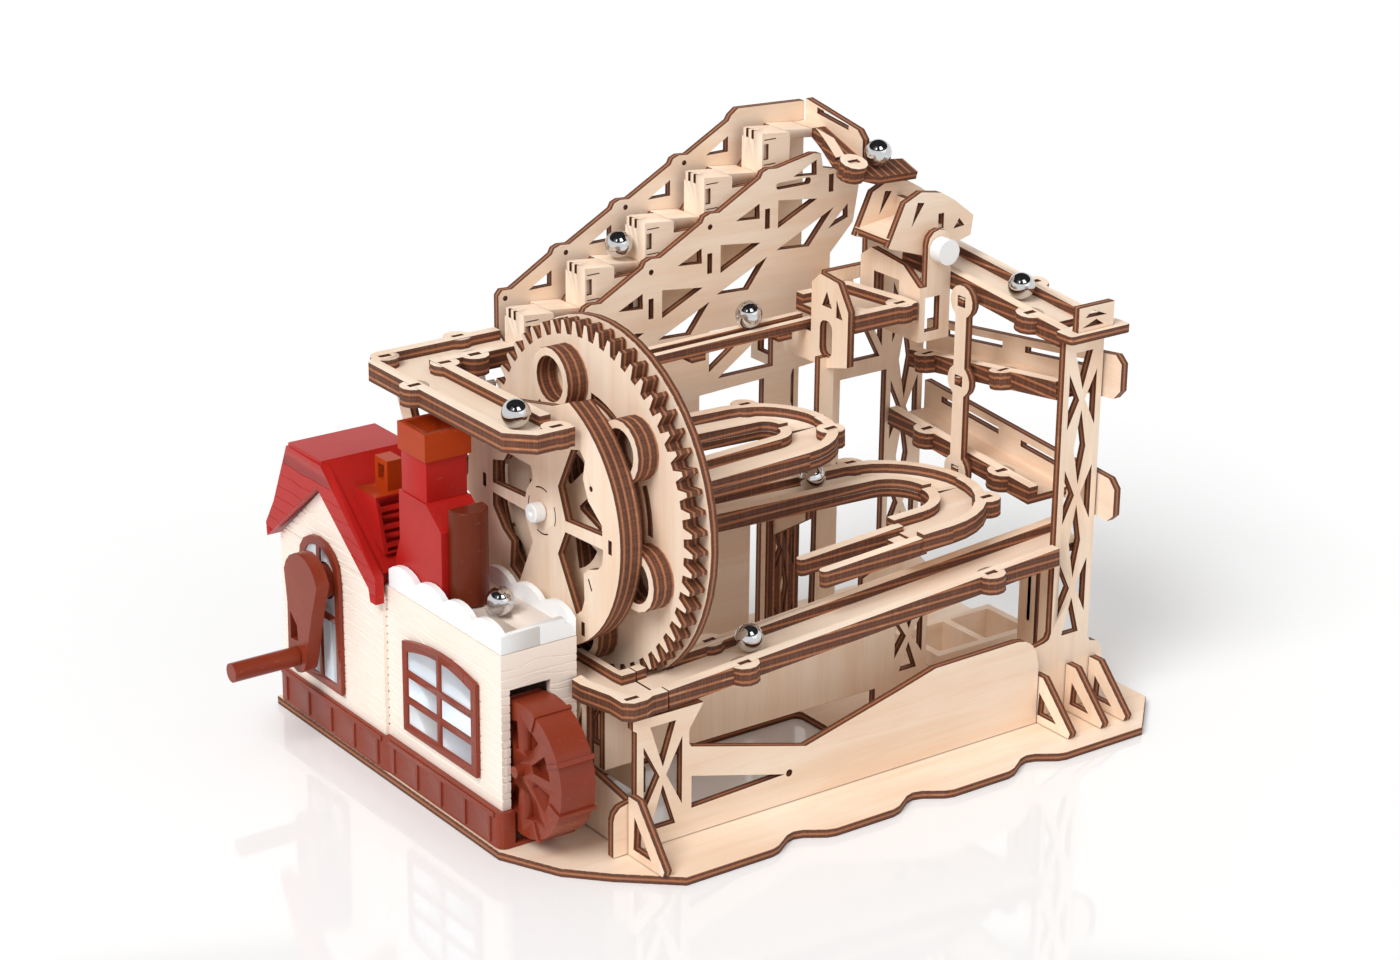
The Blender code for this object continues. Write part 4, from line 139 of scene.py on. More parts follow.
class Graph:
    """Writes nodes and links into one node tree."""

    def __init__(self, tree: Tree) -> None:
        """Starts on a tree.

        Args:
            tree: The node tree to fill.
        """
        self.tree = tree

    def node(self, kind: str, inputs: dict | None = None, **settings: object) -> Node:
        """Adds one node.

        Args:
            kind: The node's type without its ShaderNode prefix, or with another prefix in full.
            inputs: Values or output sockets by input name or index.
            settings: The node's own properties.

        Returns:
            The node.
        """
        name = kind if kind.startswith(("Node", "Shader", "Geometry")) else "ShaderNode" + kind
        made = self.tree.nodes.new(name)
        for key, value in settings.items():
            setattr(made, key, value)
        self.feed(made, inputs or {})
        return made

    def feed(self, node: Node, inputs: dict) -> None:
        """Sets or links a node's inputs.

        Args:
            node: The node.
            inputs: Values or output sockets by input name or index.
        """
        for key, value in inputs.items():
            if isinstance(value, Socket):
                self.tree.links.new(value, node.inputs[key])
            else:
                node.inputs[key].default_value = value

    def maths(self, operation: str, first: object, second: object = 0.0, third: object = 0.0) -> Socket:
        """A Math node's result.

        Args:
            operation: The Math node's operation.
            first: First value or socket.
            second: Second value or socket.
            third: Third value or socket.

        Returns:
            The output socket.
        """
        return self.node("Math", {0: first, 1: second, 2: third}, operation=operation).outputs[0]

    def spread(
        self, value: object, low: float, high: float, to_low: float = 0.0, to_high: float = 1.0
    ) -> Socket:
        """A value carried smoothly from one range to another.

        Args:
            value: Value or socket.
            low: Start of the incoming range.
            high: End of the incoming range.
            to_low: Result at low.
            to_high: Result at high.

        Returns:
            The output socket.
        """
        inputs = {"Value": value, "From Min": low, "From Max": high, "To Min": to_low, "To Max": to_high}
        return self.node("MapRange", inputs, interpolation_type="SMOOTHSTEP").outputs[0]

    def mix(self, share: object, first: object, second: object, blend: str = "MIX") -> Socket:
        """Two colours mixed.

        Args:
            share: Share of the second colour.
            first: First colour or socket.
            second: Second colour or socket.
            blend: The blend type.

        Returns:
            The colour socket.
        """
        made = self.node("Mix", {0: share, 6: first, 7: second}, data_type="RGBA", blend_type=blend)
        return made.outputs[2]

    def noise(
        self, vector: object, scale: float, detail: float = 3.0, rough: float = 0.5, twist: float = 0.0
    ) -> Socket:
        """A noise value.

        Args:
            vector: Place socket.
            scale: Noise scale.
            detail: Octaves.
            rough: Weight of the finer octaves.
            twist: Distortion.

        Returns:
            The value socket, about 0.5 in the mean.
        """
        inputs = {"Vector": vector, "Scale": scale, "Detail": detail}
        inputs |= {"Roughness": rough, "Distortion": twist}
        return self.node("TexNoise", inputs).outputs[0]

    def stretched(self, vector: object, scale: Point) -> Socket:
        """A place socket scaled along its axes."""
        return self.node("Mapping", {"Vector": vector, "Scale": scale}).outputs[0]


def linear(red: int, green: int, blue: int) -> Colour:
    """A screen colour as the linear colour that a shader takes.

    Args:
        red: 0 to 255.
        green: 0 to 255.
        blue: 0 to 255.

    Returns:
        Linear red, green, blue and full alpha.
    """
    parts = []
    for value in (red, green, blue):
        share = value / 255
        parts.append(share / 12.92 if share <= 0.04045 else ((share + 0.055) / 1.055) ** 2.4)
    return (parts[0], parts[1], parts[2], 1.0)


class ShaderGroups:
    """Node groups that several finishes share, each built once."""

    # Place in a sheet's thickness and lightness there
    layer_stops = (
        (0.0, 0.22), (0.12, 0.08), (0.34, 0.16), (0.44, 0.58),
        (0.56, 0.64), (0.66, 0.20), (0.88, 0.08), (1.0, 0.22),
    )

    @staticmethod
    def new(name: str, inputs: Sequence[tuple], outputs: Sequence[tuple]) -> tuple[Graph, object, object]:
        """A new empty group with its sockets.

        Args:
            name: Group name.
            inputs: (name, socket kind, default) of each input.
            outputs: (name, socket kind) of each output.

        Returns:
            The graph, the group input node and the group output node.
        """
        tree = bpy.data.node_groups.new(name, "ShaderNodeTree")
        for label, kind, default in inputs:
            socket = tree.interface.new_socket(label, in_out="INPUT", socket_type="NodeSocket" + kind)
            if default is not None:
                socket.default_value = default
        for label, kind in outputs:
            tree.interface.new_socket(label, in_out="OUTPUT", socket_type="NodeSocket" + kind)
        graph = Graph(tree)
        return graph, graph.node("NodeGroupInput"), graph.node("NodeGroupOutput")

    @cached_property
    def birch_grain(self) -> Tree:
        """Straight birch grain: fine fibres, broad tone bands and small dark flecks."""
        inputs = [("Place", "Vector", None), ("Fleck", "Float", 0.5)]
        inputs += [("Light", "Color", (1, 1, 1, 1)), ("Dark", "Color", (0, 0, 0, 1))]
        graph, start, end = self.new("birch_grain", inputs, [("Color", "Color"), ("Height", "Float")])
        place = start.outputs["Place"]
        bands = graph.noise(graph.stretched(place, (9.0, 130.0, 1.0)), 1.0, 3.0, 0.55, 0.6)
        fibres = graph.noise(graph.stretched(place, (60.0, 2300.0, 1.0)), 1.0, 4.0, 0.6, 0.2)
        clouds = graph.noise(place, 22.0, 2.0)
        tone = graph.maths("MULTIPLY_ADD", fibres, 0.3, graph.maths("MULTIPLY", clouds, 0.35))
        tone = graph.maths("MULTIPLY_ADD", bands, 0.55, tone)
        share = graph.spread(tone, 0.42, 0.80)
        flecks = graph.noise(graph.stretched(place, (330.0, 3400.0, 1.0)), 1.0, 1.0, 0.4)
        speck = graph.maths("MULTIPLY", graph.spread(flecks, 0.70, 0.78), start.outputs["Fleck"])
        colour = graph.mix(share, start.outputs["Light"], start.outputs["Dark"])
        colour = graph.mix(speck, colour, start.outputs["Dark"], "MULTIPLY")
        height = graph.maths("SUBTRACT", fibres, graph.maths("MULTIPLY", speck, 1.2))
        graph.feed(end, {"Color": colour, "Height": height})
        return graph.tree

    @cached_property
    def scorched_layers(self) -> Tree:
        """Cut edge of laser-cut plywood: dark char over the layers of each sheet."""
        inputs = [("Place", "Vector", None)]
        inputs += [(label, "Color", (0.3, 0.2, 0.1, 1)) for label in ("Char", "Brown", "Pale")]
        graph, start, end = self.new("scorched_layers", inputs, [("Color", "Color"), ("Height", "Float")])
        place = start.outputs["Place"]
        apart = graph.node("SeparateXYZ", {0: place})
        ragged = graph.noise(graph.stretched(place, (420.0, 40.0, 1.0)), 1.0, 3.0, 0.6)
        shift = graph.maths("MULTIPLY_ADD", ragged, 0.00022, -0.00011)
        level = graph.maths("ADD", apart.outputs[1], shift)
        layer = graph.maths("FRACT", graph.maths("DIVIDE", level, SHEET * MM))
        ramp = graph.node("ValToRGB", {0: layer})
        elements = ramp.color_ramp.elements
        while len(elements) < len(self.layer_stops):
            elements.new(0.5)
        for element, (position, value) in zip(elements, self.layer_stops):
            element.position = position
            element.color = (value, value, value, 1.0)
        streaks = graph.noise(graph.stretched(place, (2600.0, 120.0, 1.0)), 1.0, 2.0, 0.5)
        patches = graph.noise(place, 55.0, 3.0, 0.6)
        amount = graph.maths("ADD", ramp.outputs[0], graph.maths("MULTIPLY_ADD", streaks, 0.5, -0.27))
        colour = graph.mix(graph.spread(amount, 0.0, 0.6), start.outputs["Char"], start.outputs["Brown"])
        worn = graph.spread(patches, 0.56, 0.74)
        bare = graph.maths("MULTIPLY", worn, graph.spread(amount, 0.2, 0.6, 0.0, 0.55))
        colour = graph.mix(bare, colour, start.outputs["Pale"])
        ridges = graph.maths("MULTIPLY", ramp.outputs[0], 0.8)
        height = graph.maths("ADD", graph.maths("MULTIPLY", streaks, 0.6), ridges)
        graph.feed(end, {"Color": colour, "Height": height})
        return graph.tree

    @cached_property
    def moulded_skin(self) -> Tree:
        """Moulded plastic: faint tone clouds, a fine spark-eroded texture and small scuffs."""
        inputs = [("Place", "Vector", None), ("Tone", "Color", (1, 1, 1, 1))]
        inputs += [("Gloss", "Float", 0.4), ("Scuff", "Float", 0.3)]
        outputs = [("Color", "Color"), ("Roughness", "Float"), ("Height", "Float")]
        graph, start, end = self.new("moulded_skin", inputs, outputs)
        place = start.outputs["Place"]
        clouds = graph.noise(place, 45.0, 3.0)
        grit = graph.noise(place, 3800.0, 2.0)
        marks = graph.noise(graph.stretched(place, (300.0, 1900.0, 900.0)), 1.0, 2.0, 0.5, 0.8)
        worn = graph.maths("MULTIPLY", graph.spread(marks, 0.66, 0.80), start.outputs["Scuff"])
        shade = graph.spread(clouds, 0.3, 0.7, 0.0, 0.16)
        colour = graph.mix(shade, start.outputs["Tone"], start.outputs["Tone"], "MULTIPLY")
        colour = graph.mix(graph.maths("MULTIPLY", worn, 0.25), colour, (1.0, 0.95, 0.9, 1.0))
        rough = graph.maths("MULTIPLY_ADD", worn, 0.3, -0.05)
        rough = graph.maths("ADD", start.outputs["Gloss"], graph.maths("MULTIPLY_ADD", clouds, 0.10, rough))
        height = graph.maths("ADD", grit, graph.maths("MULTIPLY", clouds, 0.8))
        graph.feed(end, {"Color": colour, "Roughness": rough, "Height": height})
        return graph.tree


# Finishes


@dataclass
class Finish:
    """A material that is made on first use."""

    groups: ShaderGroups
    name: str
    made: Material | None = field(default=None, init=False)

    def material(self) -> Material:
        """The finished material."""
        if self.made is None:
            self.made = bpy.data.materials.new(self.name)
            self.made.use_nodes = True
            self.fill(Graph(self.made.node_tree), self.made.node_tree.nodes["Principled BSDF"])
        return self.made

    def fill(self, graph: Graph, shader: Node) -> None:
        """Writes the finish's own nodes.

        Args:
            graph: The material's nodes.
            shader: Its shader.
        """
        raise NotImplementedError


@dataclass
class BirchFace(Finish):
    """Sheet face of birch plywood."""

    light: Colour = linear(251, 231, 210)
    dark: Colour = linear(241, 210, 181)

    def fill(self, graph: Graph, shader: Node) -> None:
        """Grain that follows the sheet by its UV map.

        Args:
            graph: The material's nodes.
            shader: Its shader.
        """
        place = graph.node("UVMap", uv_map="sheet").outputs[0]
        inputs = {"Place": place, "Light": self.light, "Dark": self.dark, "Fleck": 0.30}
        grain = graph.node("Group", inputs, node_tree=self.groups.birch_grain).outputs
        bump = graph.node("Bump", {"Height": grain["Height"], "Strength": 0.25, "Distance": 0.00004})
        graph.feed(shader, {"Base Color": grain["Color"], "Roughness": 0.55, "Normal": bump.outputs[0]})


@dataclass
class ScorchedEdge(Finish):
    """Laser-cut edge of the plywood."""

    char: Colour = linear(84, 47, 31)
    brown: Colour = linear(172, 108, 70)
    pale: Colour = linear(228, 174, 130)

    def fill(self, graph: Graph, shader: Node) -> None:
        """Layers along the sheet's thickness by the UV map.

        Args:
            graph: The material's nodes.
            shader: Its shader.
        """
        place = graph.node("UVMap", uv_map="sheet").outputs[0]
        inputs = {"Place": place, "Char": self.char, "Brown": self.brown, "Pale": self.pale}
        layers = graph.node("Group", inputs, node_tree=self.groups.scorched_layers).outputs
        bump = graph.node("Bump", {"Height": layers["Height"], "Strength": 0.5, "Distance": 0.00008})
        graph.feed(shader, {"Base Color": layers["Color"], "Roughness": 0.7, "Normal": bump.outputs[0]})


@dataclass
class Plastic(Finish):
    """Moulded plastic of one colour."""

    tone: Colour = (0.8, 0.8, 0.8, 1.0)
    gloss: float = 0.4
    scuff: float = 0.25
    shine: float = 0.35

    def fill(self, graph: Graph, shader: Node) -> None:
        """Moulded skin over the plastic's own colour.

        Args:
            graph: The material's nodes.
            shader: Its shader.
        """
        place = graph.node("TexCoord").outputs["Object"]
        inputs = {"Place": place, "Tone": self.tone, "Gloss": self.gloss, "Scuff": self.scuff}
        skin = graph.node("Group", inputs, node_tree=self.groups.moulded_skin).outputs
        bump = graph.node("Bump", {"Height": skin["Height"], "Strength": 0.12, "Distance": 0.00005})
        graph.feed(shader, {"Base Color": skin["Color"], "Roughness": skin["Roughness"]})
        graph.feed(shader, {"Specular IOR Level": self.shine, "Normal": bump.outputs[0]})


@dataclass
class Steel(Finish):
    """Polished steel of the balls and pins."""

    tone: Colour = (0.60, 0.60, 0.61, 1.0)
    gloss: float = 0.04

    def fill(self, graph: Graph, shader: Node) -> None:
        """Bright metal with a faint haze of fine scratches.

        Args:
            graph: The material's nodes.
            shader: Its shader.
        """
        place = graph.node("TexCoord").outputs["Object"]
        haze = graph.noise(graph.stretched(place, (500.0, 500.0, 2600.0)), 1.0, 3.0)
        rough = graph.spread(haze, 0.35, 0.75, self.gloss, self.gloss + 0.05)
        graph.feed(shader, {"Base Color": self.tone, "Metallic": 1.0, "Roughness": rough})


@dataclass
class Pane(Finish):
    """Pale blue-white window panes."""

    top: Colour = linear(242, 248, 251)
    bottom: Colour = linear(222, 234, 244)

    def fill(self, graph: Graph, shader: Node) -> None:
        """A pale sheet, a little bluer in clouds, with a faint ripple.

        Args:
            graph: The material's nodes.
            shader: Its shader.
        """
        place = graph.node("TexCoord").outputs["Object"]
        clouds = graph.noise(graph.stretched(place, (30.0, 30.0, 55.0)), 1.0, 2.0)
        colour = graph.mix(graph.spread(clouds, 0.35, 0.65), self.top, self.bottom)
        waves = graph.noise(place, 160.0, 2.0)
        ripple = graph.node("Bump", {"Height": waves, "Strength": 0.15, "Distance": 0.0002})
        graph.feed(shader, {"Base Color": colour, "Roughness": 0.12, "Normal": ripple.outputs[0]})


class Finishes:
    def __init__(self) -> None:
        """Makes the finishes, whose materials follow on first use."""
        groups = ShaderGroups()
        self.birch = BirchFace(groups, "birch_face")
        self.edge = ScorchedEdge(groups, "scorched_edge")
        self.wall = Plastic(groups, "wall_plastic_skin", linear(253, 240, 228), gloss=0.48, scuff=0.1)
        self.red = Plastic(groups, "red_plastic_skin", linear(182, 32, 27), gloss=0.30, shine=0.2)
        self.brown = Plastic(groups, "brown_plastic_skin", linear(140, 56, 34), gloss=0.28, shine=0.25)
        self.umber = Plastic(groups, "umber_plastic_skin", linear(108, 44, 24), gloss=0.28, shine=0.15)
        self.orange = Plastic(groups, "orange_plastic_skin", linear(178, 62, 16), gloss=0.32, shine=0.15)
        self.white = Plastic(groups, "white_plastic_skin", linear(249, 251, 252), gloss=0.38, scuff=0.1)
        self.steel = Steel(groups, "polished_steel")
        self.pane = Pane(groups, "window_pane")


# Shapes


def arc(u: float, v: float, radius: float, start: float, end: float, steps: int) -> Outline:
    """Points of an arc.

    Args:
        u: Middle, first coordinate.
        v: Middle, second coordinate.
        radius: Radius.
        start: First angle in degrees.
        end: Last angle in degrees.
        steps: Number of chords.

    Returns:
        The points, both ends included.
    """
    angles = [math.radians(start + (end - start) * i / steps) for i in range(steps + 1)]
    return [(u + radius * math.cos(a), v + radius * math.sin(a)) for a in angles]


def rectangle(u0: float, v0: float, u1: float, v1: float) -> Outline:
    """A rectangle's corners."""
    return [(u0, v0), (u1, v0), (u1, v1), (u0, v1)]


def stroke(points: Sequence[Spot], width: float) -> Outline:
    """A thin closed band along a line of points.

    Args:
        points: The line.
        width: Width of the band.

    Returns:
        The band's outline.
    """
    left, right = [], []
    for i, (u, v) in enumerate(points):
        before = points[max(i - 1, 0)]
        after = points[min(i + 1, len(points) - 1)]
        du, dv = after[0] - before[0], after[1] - before[1]
        size = math.hypot(du, dv) or 1.0
        nu, nv = -dv / size * width / 2, du / size * width / 2
        left.append((u + nu, v + nv))
        right.append((u - nu, v - nv))
    return left + right[::-1]


@dataclass(frozen=True)
class Sheets:
    """Where a node is cut from sheets that look along one axis.

    BOXED stands for a box joined from sheets of several directions, where the narrow strips are cut edges.
    """

    axis: Axis
    grain: Axis = Axis.X
    low: Point = (-999.0, -999.0, -999.0)
    high: Point = (999.0, 999.0, 999.0)
    lean: float = 0.93
    strip: float = 3.05

    def holds(self, point: Vector) -> bool:
        """Whether a point in kit millimetres is in this region."""
        return all(self.low[i] <= point[i] <= self.high[i] for i in range(3))


@dataclass(frozen=True)
class Patch:
    """A box in which a piece's faces take another finish, all of them or those that look one way."""

    finish: Finish
    low: Point
    high: Point
    toward: Point | None = None

    def takes(self, centre: Vector, normal: Vector) -> bool:
        """Whether a face belongs to this patch.

        Args:
            centre: Middle of the face in kit millimetres.
            normal: Its direction.

        Returns:
            True if its middle is in the box and it looks the right way.
        """
        inside = all(self.low[i] <= centre[i] <= self.high[i] for i in range(3))
        return inside and (self.toward is None or normal.dot(Vector(self.toward)) > 0.9)


# Grown shapes


class Growth:
    """Geometry Nodes trees for what repeats, each built once and baked to plain meshes.

    The wave length is that of the wavy tubes, in mm.
    """

    wave_length = 17.0

    def __init__(self, kit: KitFrame, coating: Material) -> None:
        """Starts with no tree built yet.

        Args:
            coating: Material of the baked meshes.
        """
        self.kit = kit
        self.coating = coating

    @staticmethod
    def new(name: str, inputs: Sequence[tuple[str, str]]) -> tuple[Graph, Node, Node]:
        """A new empty tree.

        Args:
            name: Its name.
            inputs: (name, socket kind) of each size input.

        Returns:
            The graph, the group input node and the group output node.
        """
        tree = bpy.data.node_groups.new(name, "GeometryNodeTree")
        for label, kind in (("Geometry", "Geometry"), *inputs, ("Material", "Material")):
            tree.interface.new_socket(label, in_out="INPUT", socket_type="NodeSocket" + kind)
        tree.interface.new_socket("Geometry", in_out="OUTPUT", socket_type="NodeSocketGeometry")
        graph = Graph(tree)
        return graph, graph.node("NodeGroupInput"), graph.node("NodeGroupOutput")

    @staticmethod
    def close(graph: Graph, start: Node, end: Node, shape: Socket) -> None:
        """Ends a tree: real geometry with its material.

        Args:
            graph: The tree's graph.
            start: Its group input node.
            end: Its group output node.
            shape: What it has grown.
        """
        real = graph.node("GeometryNodeRealizeInstances", {0: shape}).outputs[0]
        inputs = {"Geometry": real, "Material": start.outputs["Material"]}
        graph.feed(end, {0: graph.node("GeometryNodeSetMaterial", inputs).outputs[0]})

    @cached_property
    def wavy_tree(self) -> Tree:
        """Wavy tubes along Y, stacked along Z, which follow one noise field so that they never cross."""
        inputs = [("Length", "Float"), ("Rows", "Int"), ("Spacing", "Float"), ("Radius", "Float")]
        inputs += [("Wave", "Float"), ("Stretch", "Float"), ("Seed", "Float")]
        graph, start, end = self.new("wavy_rows", inputs)
        sizes = start.outputs
        far_end = graph.node("CombineXYZ", {"Y": sizes["Length"]}).outputs[0]
        line = graph.node("GeometryNodeCurvePrimitiveLine", {"End": far_end}).outputs[0]
        fine = graph.node("GeometryNodeResampleCurve", {"Curve": line, "Count": 64}).outputs[0]
        step = graph.node("CombineXYZ", {"Z": sizes["Spacing"]}).outputs[0]
        rows = graph.node("GeometryNodeMeshLine", {"Count": sizes["Rows"], "Offset": step}).outputs[0]
        copies = graph.node("GeometryNodeInstanceOnPoints", {"Points": rows, "Instance": fine}).outputs[0]
        curves = graph.node("GeometryNodeRealizeInstances", {0: copies}).outputs[0]
        position = graph.node("GeometryNodeInputPosition").outputs[0]
        place = graph.node("VectorMath", {0: position, 1: (1.0, 1.0, 0.3)}, operation="MULTIPLY").outputs[0]
        scale = graph.maths("DIVIDE", 1.0, sizes["Stretch"])
        noise = {"Vector": place, "W": sizes["Seed"], "Scale": scale, "Detail": 1.0}
        sway = graph.node("TexNoise", noise, noise_dimensions="4D").outputs[0]
        height = graph.maths("MULTIPLY", sizes["Wave"], 4.0)
        lift = graph.maths("MULTIPLY", graph.maths("SUBTRACT", sway, 0.5), height)
        shift = graph.node("CombineXYZ", {"Z": lift}).outputs[0]
        swayed = graph.node("GeometryNodeSetPosition", {"Geometry": curves, "Offset": shift}).outputs[0]
        circle = {"Resolution": 6, "Radius": sizes["Radius"]}
        ring = graph.node("GeometryNodeCurvePrimitiveCircle", circle).outputs[0]
        inputs = {"Curve": swayed, "Profile Curve": ring, "Fill Caps": True}
        self.close(graph, start, end, graph.node("GeometryNodeCurveToMesh", inputs).outputs[0])
        return graph.tree

    @cache
    def stud_tree(self, round_studs: bool) -> Tree:
        """A row of studs, repeated along a second direction.

        Args:
            round_studs: Pegs along Y instead of blocks.

        Returns:
            The tree.
        """
        inputs = [("Size", "Vector"), ("Count", "Int"), ("Step", "Vector")]
        inputs += [("Repeats", "Int"), ("Rise", "Vector")]
        graph, start, end = self.new("peg_rows" if round_studs else "block_rows", inputs)
        sizes = start.outputs
        if round_studs:
            apart = graph.node("SeparateXYZ", {0: sizes["Size"]}).outputs
            radius = graph.maths("MULTIPLY", apart[0], 0.5)
            shape = {"Vertices": 16, "Radius": radius, "Depth": apart[1]}
            peg = graph.node("GeometryNodeMeshCylinder", shape).outputs[0]
            turned = {"Geometry": peg, "Rotation": (math.radians(90), 0.0, 0.0)}
            stud = graph.node("GeometryNodeTransform", turned).outputs[0]
        else:
            stud = graph.node("GeometryNodeMeshCube", {"Size": sizes["Size"]}).outputs[0]
        for count, step in (("Count", "Step"), ("Repeats", "Rise")):
            line = {"Count": sizes[count], "Offset": sizes[step]}
            row = graph.node("GeometryNodeMeshLine", line).outputs[0]
            stud = graph.node("GeometryNodeInstanceOnPoints", {"Points": row, "Instance": stud}).outputs[0]
        self.close(graph, start, end, stud)
        return graph.tree

    def bake(self, tree: Tree, sizes: dict[str, object], place: Matrix) -> Mesh:
        """The plain mesh that a tree grows.

        Args:
            tree: The tree.
            sizes: Its inputs by name, kit mm.

        Returns:
            The mesh in the shared frame.
        """
        seed = bpy.data.meshes.new(tree.name)
        obj = bpy.data.objects.new(tree.name, seed)
        bpy.context.scene.collection.objects.link(obj)
        modifier = obj.modifiers.new("grow", "NODES")
        modifier.node_group = tree
        values = {**sizes, "Material": self.coating}
        for item in tree.interface.items_tree:
            if item.item_type == "SOCKET" and item.in_out == "INPUT" and item.name in values:
                modifier[item.identifier] = values[item.name]
        bpy.context.view_layer.update()
        graph = bpy.context.evaluated_depsgraph_get()
        result = bpy.data.meshes.new_from_object(obj.evaluated_get(graph))
        bpy.data.objects.remove(obj, do_unlink=True)
        result.transform(Matrix.Translation(self.kit.origin) @ Matrix.Scale(MM, 4) @ place)
        return result

    def waves(
        self, place: Matrix, length: float, rows: int, spacing: float,
        radius: float, wave: float, seed: float,
    ) -> Mesh:
        """Wavy tubes, as cutters of moulded wood grain.

        Args:
            place: Start of the lowest tube, its own Y along the wall and its Z up the wall.
            length: Length of the tubes.
            rows: Their number.
            spacing: Distance between them.
            radius: Their radius.
            wave: Height of the waves.
            seed: Which stretch of the noise they follow.

        Returns:
            The mesh.
        """
        sizes = {"Length": length, "Rows": rows, "Spacing": spacing, "Radius": radius}
        sizes |= {"Wave": wave, "Stretch": self.wave_length, "Seed": seed}
        return self.bake(self.wavy_tree, sizes, place)

    def studs(
        self,
        middle: Point,
        size: Point,
        count: int = 1,
        step: Point = (0.0, 0.0, 0.0),
        repeats: int = 1,
        rise: Point = (0.0, 0.0, 0.0),
        round_studs: bool = False,
    ) -> Mesh:
        """Blocks or pegs in rows.

        Args:
            middle: Middle of the first one.
            size: Its size, for a peg diameter and length.
            count: Number in a row.
            step: From one to the next.
            repeats: Number of rows.
            rise: From one row to the next.
            round_studs: Pegs along Y instead of blocks.

        Returns:
            The mesh.
        """
        sizes = {"Size": size, "Count": count, "Step": step, "Repeats": repeats, "Rise": rise}
        return self.bake(self.stud_tree(round_studs), sizes, Matrix.Translation(middle))


@dataclass
class Bench:
    """The bench on which CAD nodes are copied, cut finer and dressed.

    The rim is the bevel of a sheet's edges, the weld the distance at which corners merge, a crumb the
    longest edge that is merged away and the least face the least width of a sheet's face, all in mm. Faces
    within the flat angle become one, and edges past the bevel angle are bevelled, in degrees. A bevel that
    doesn't fit is tried again with each share of its width.
    """

    kit: KitFrame
    finishes: Finishes
    growth: Growth
    nodes: dict[str, Object]
    body_of: dict[str, str]
    rim: float = 0.16
    weld: float = 0.002
    crumb: float = 0.32
    least_face: float = 0.7
    flat_angle: float = 0.2
    bevel_angle: float = 28.0
    bevel_shares: tuple[float, ...] = (1.0, 0.6, 0.35, 0.15)

    def prism(self, axis: Axis, low: float, high: float, outline: Sequence[Spot]) -> Mesh:
        """A straight prism in the shared frame.

        Args:
            axis: Its direction.
            low: Where it starts along the axis, kit mm.
            high: Where it ends.
            outline: Its outline, in the two other coordinates in XYZ order, kit mm.

        Returns:
            The mesh.
        """
        shape = bmesh.new()

        def put(u: float, v: float, w: float) -> bmesh.types.BMVert:
            """One corner of the prism."""
            kit = {Axis.X: (w, u, v), Axis.Y: (u, w, v), Axis.Z: (u, v, w)}[axis]
            return shape.verts.new(self.kit.at(*kit))

        bottom = [put(u, v, low) for u, v in outline]
        top = [put(u, v, high) for u, v in outline]
        shape.faces.new(bottom)
        shape.faces.new(top[::-1])
        for i in range(len(outline)):
            after = (i + 1) % len(outline)
            shape.faces.new((bottom[i], top[i], top[after], bottom[after]))
        bmesh.ops.recalc_face_normals(shape, faces=shape.faces)
        return self.mesh_from(shape, "prism")

    def block(self, low: Point, high: Point) -> Mesh:
        """A box between two corners in kit millimetres."""
        return self.prism(Axis.Z, low[2], high[2], rectangle(low[0], low[1], high[0], high[1]))

    def rod(self, axis: Axis, low: float, high: float, middle: Spot, radius: float, sides: int = 16) -> Mesh:
        """A round bar along an axis.

        Args:
            axis: Its direction.
            low: Where it starts along the axis, kit mm.
            high: Where it ends.
            middle: Its middle in the two other coordinates.
            radius: Its radius.
            sides: Its sides.

        Returns:
            The mesh.
        """
        return self.prism(axis, low, high, arc(*middle, radius, 0.0, 360.0, sides)[:-1])

    def collar(self, low: float, high: float, middle: Spot, inner: float, outer: float) -> Mesh:
        """A ring along X, which turns a round piece down to a smaller radius.

        Args:
            low: Where it starts along X, kit mm.
            high: Where it ends.
            middle: Its middle in Y and Z.
            inner: Inner radius.
            outer: Outer radius.

        Returns:
            The mesh.
        """
        whole = self.rod(Axis.X, low, high, middle, outer, 64)
        hole = self.rod(Axis.X, low - 1.0, high + 1.0, middle, inner, 64)
        return self.boolean(whole, [hole], "DIFFERENCE")

    def groove(self, axis: Axis, low: float, high: float, points: Sequence[Spot], width: float) -> Mesh:
        """A cutter along a line of points.

        Args:
            axis: Direction that the cut goes in.
            low: Where it starts along the axis, kit mm.
            high: Where it ends.
            points: The line, in the two other coordinates.
            width: Its width.

        Returns:
            The mesh.
        """
        return self.prism(axis, low, high, stroke(points, width))

    @staticmethod
    def joined(meshes: Sequence[Mesh]) -> Mesh:
        """One mesh that holds several, which don't touch.

        Args:
            meshes: The meshes.

        Returns:
            The joined mesh.
        """
        shape = bmesh.new()
        for mesh in meshes:
            shape.from_mesh(mesh)
        return Bench.mesh_from(shape, "joined")

    @staticmethod
    def mesh_from(shape: Shape, name: str) -> Mesh:
        """Turns a bmesh into a mesh and frees it.

        Args:
            shape: The bmesh.
            name: Name of the mesh.

        Returns:
            The mesh.
        """
        mesh = bpy.data.meshes.new(name)
        shape.to_mesh(mesh)
        shape.free()
        return mesh

    def copy_of(self, node: str) -> Mesh:
        """A merged copy of a CAD node's mesh, its flat regions joined.

        Args:
            node: The CAD node.

        Returns:
            The new mesh, in the shared frame.
        """
        shape = bmesh.new()
        shape.from_mesh(self.nodes[node].data)
        flat = {"angle_limit": math.radians(self.flat_angle), "verts": shape.verts, "edges": shape.edges}
        bmesh.ops.remove_doubles(shape, verts=shape.verts, dist=self.weld * MM)
        bmesh.ops.dissolve_limit(shape, **flat)
        bmesh.ops.dissolve_degenerate(shape, edges=shape.edges, dist=self.crumb * MM)
        bmesh.ops.dissolve_limit(shape, **flat)
        return self.mesh_from(shape, node)

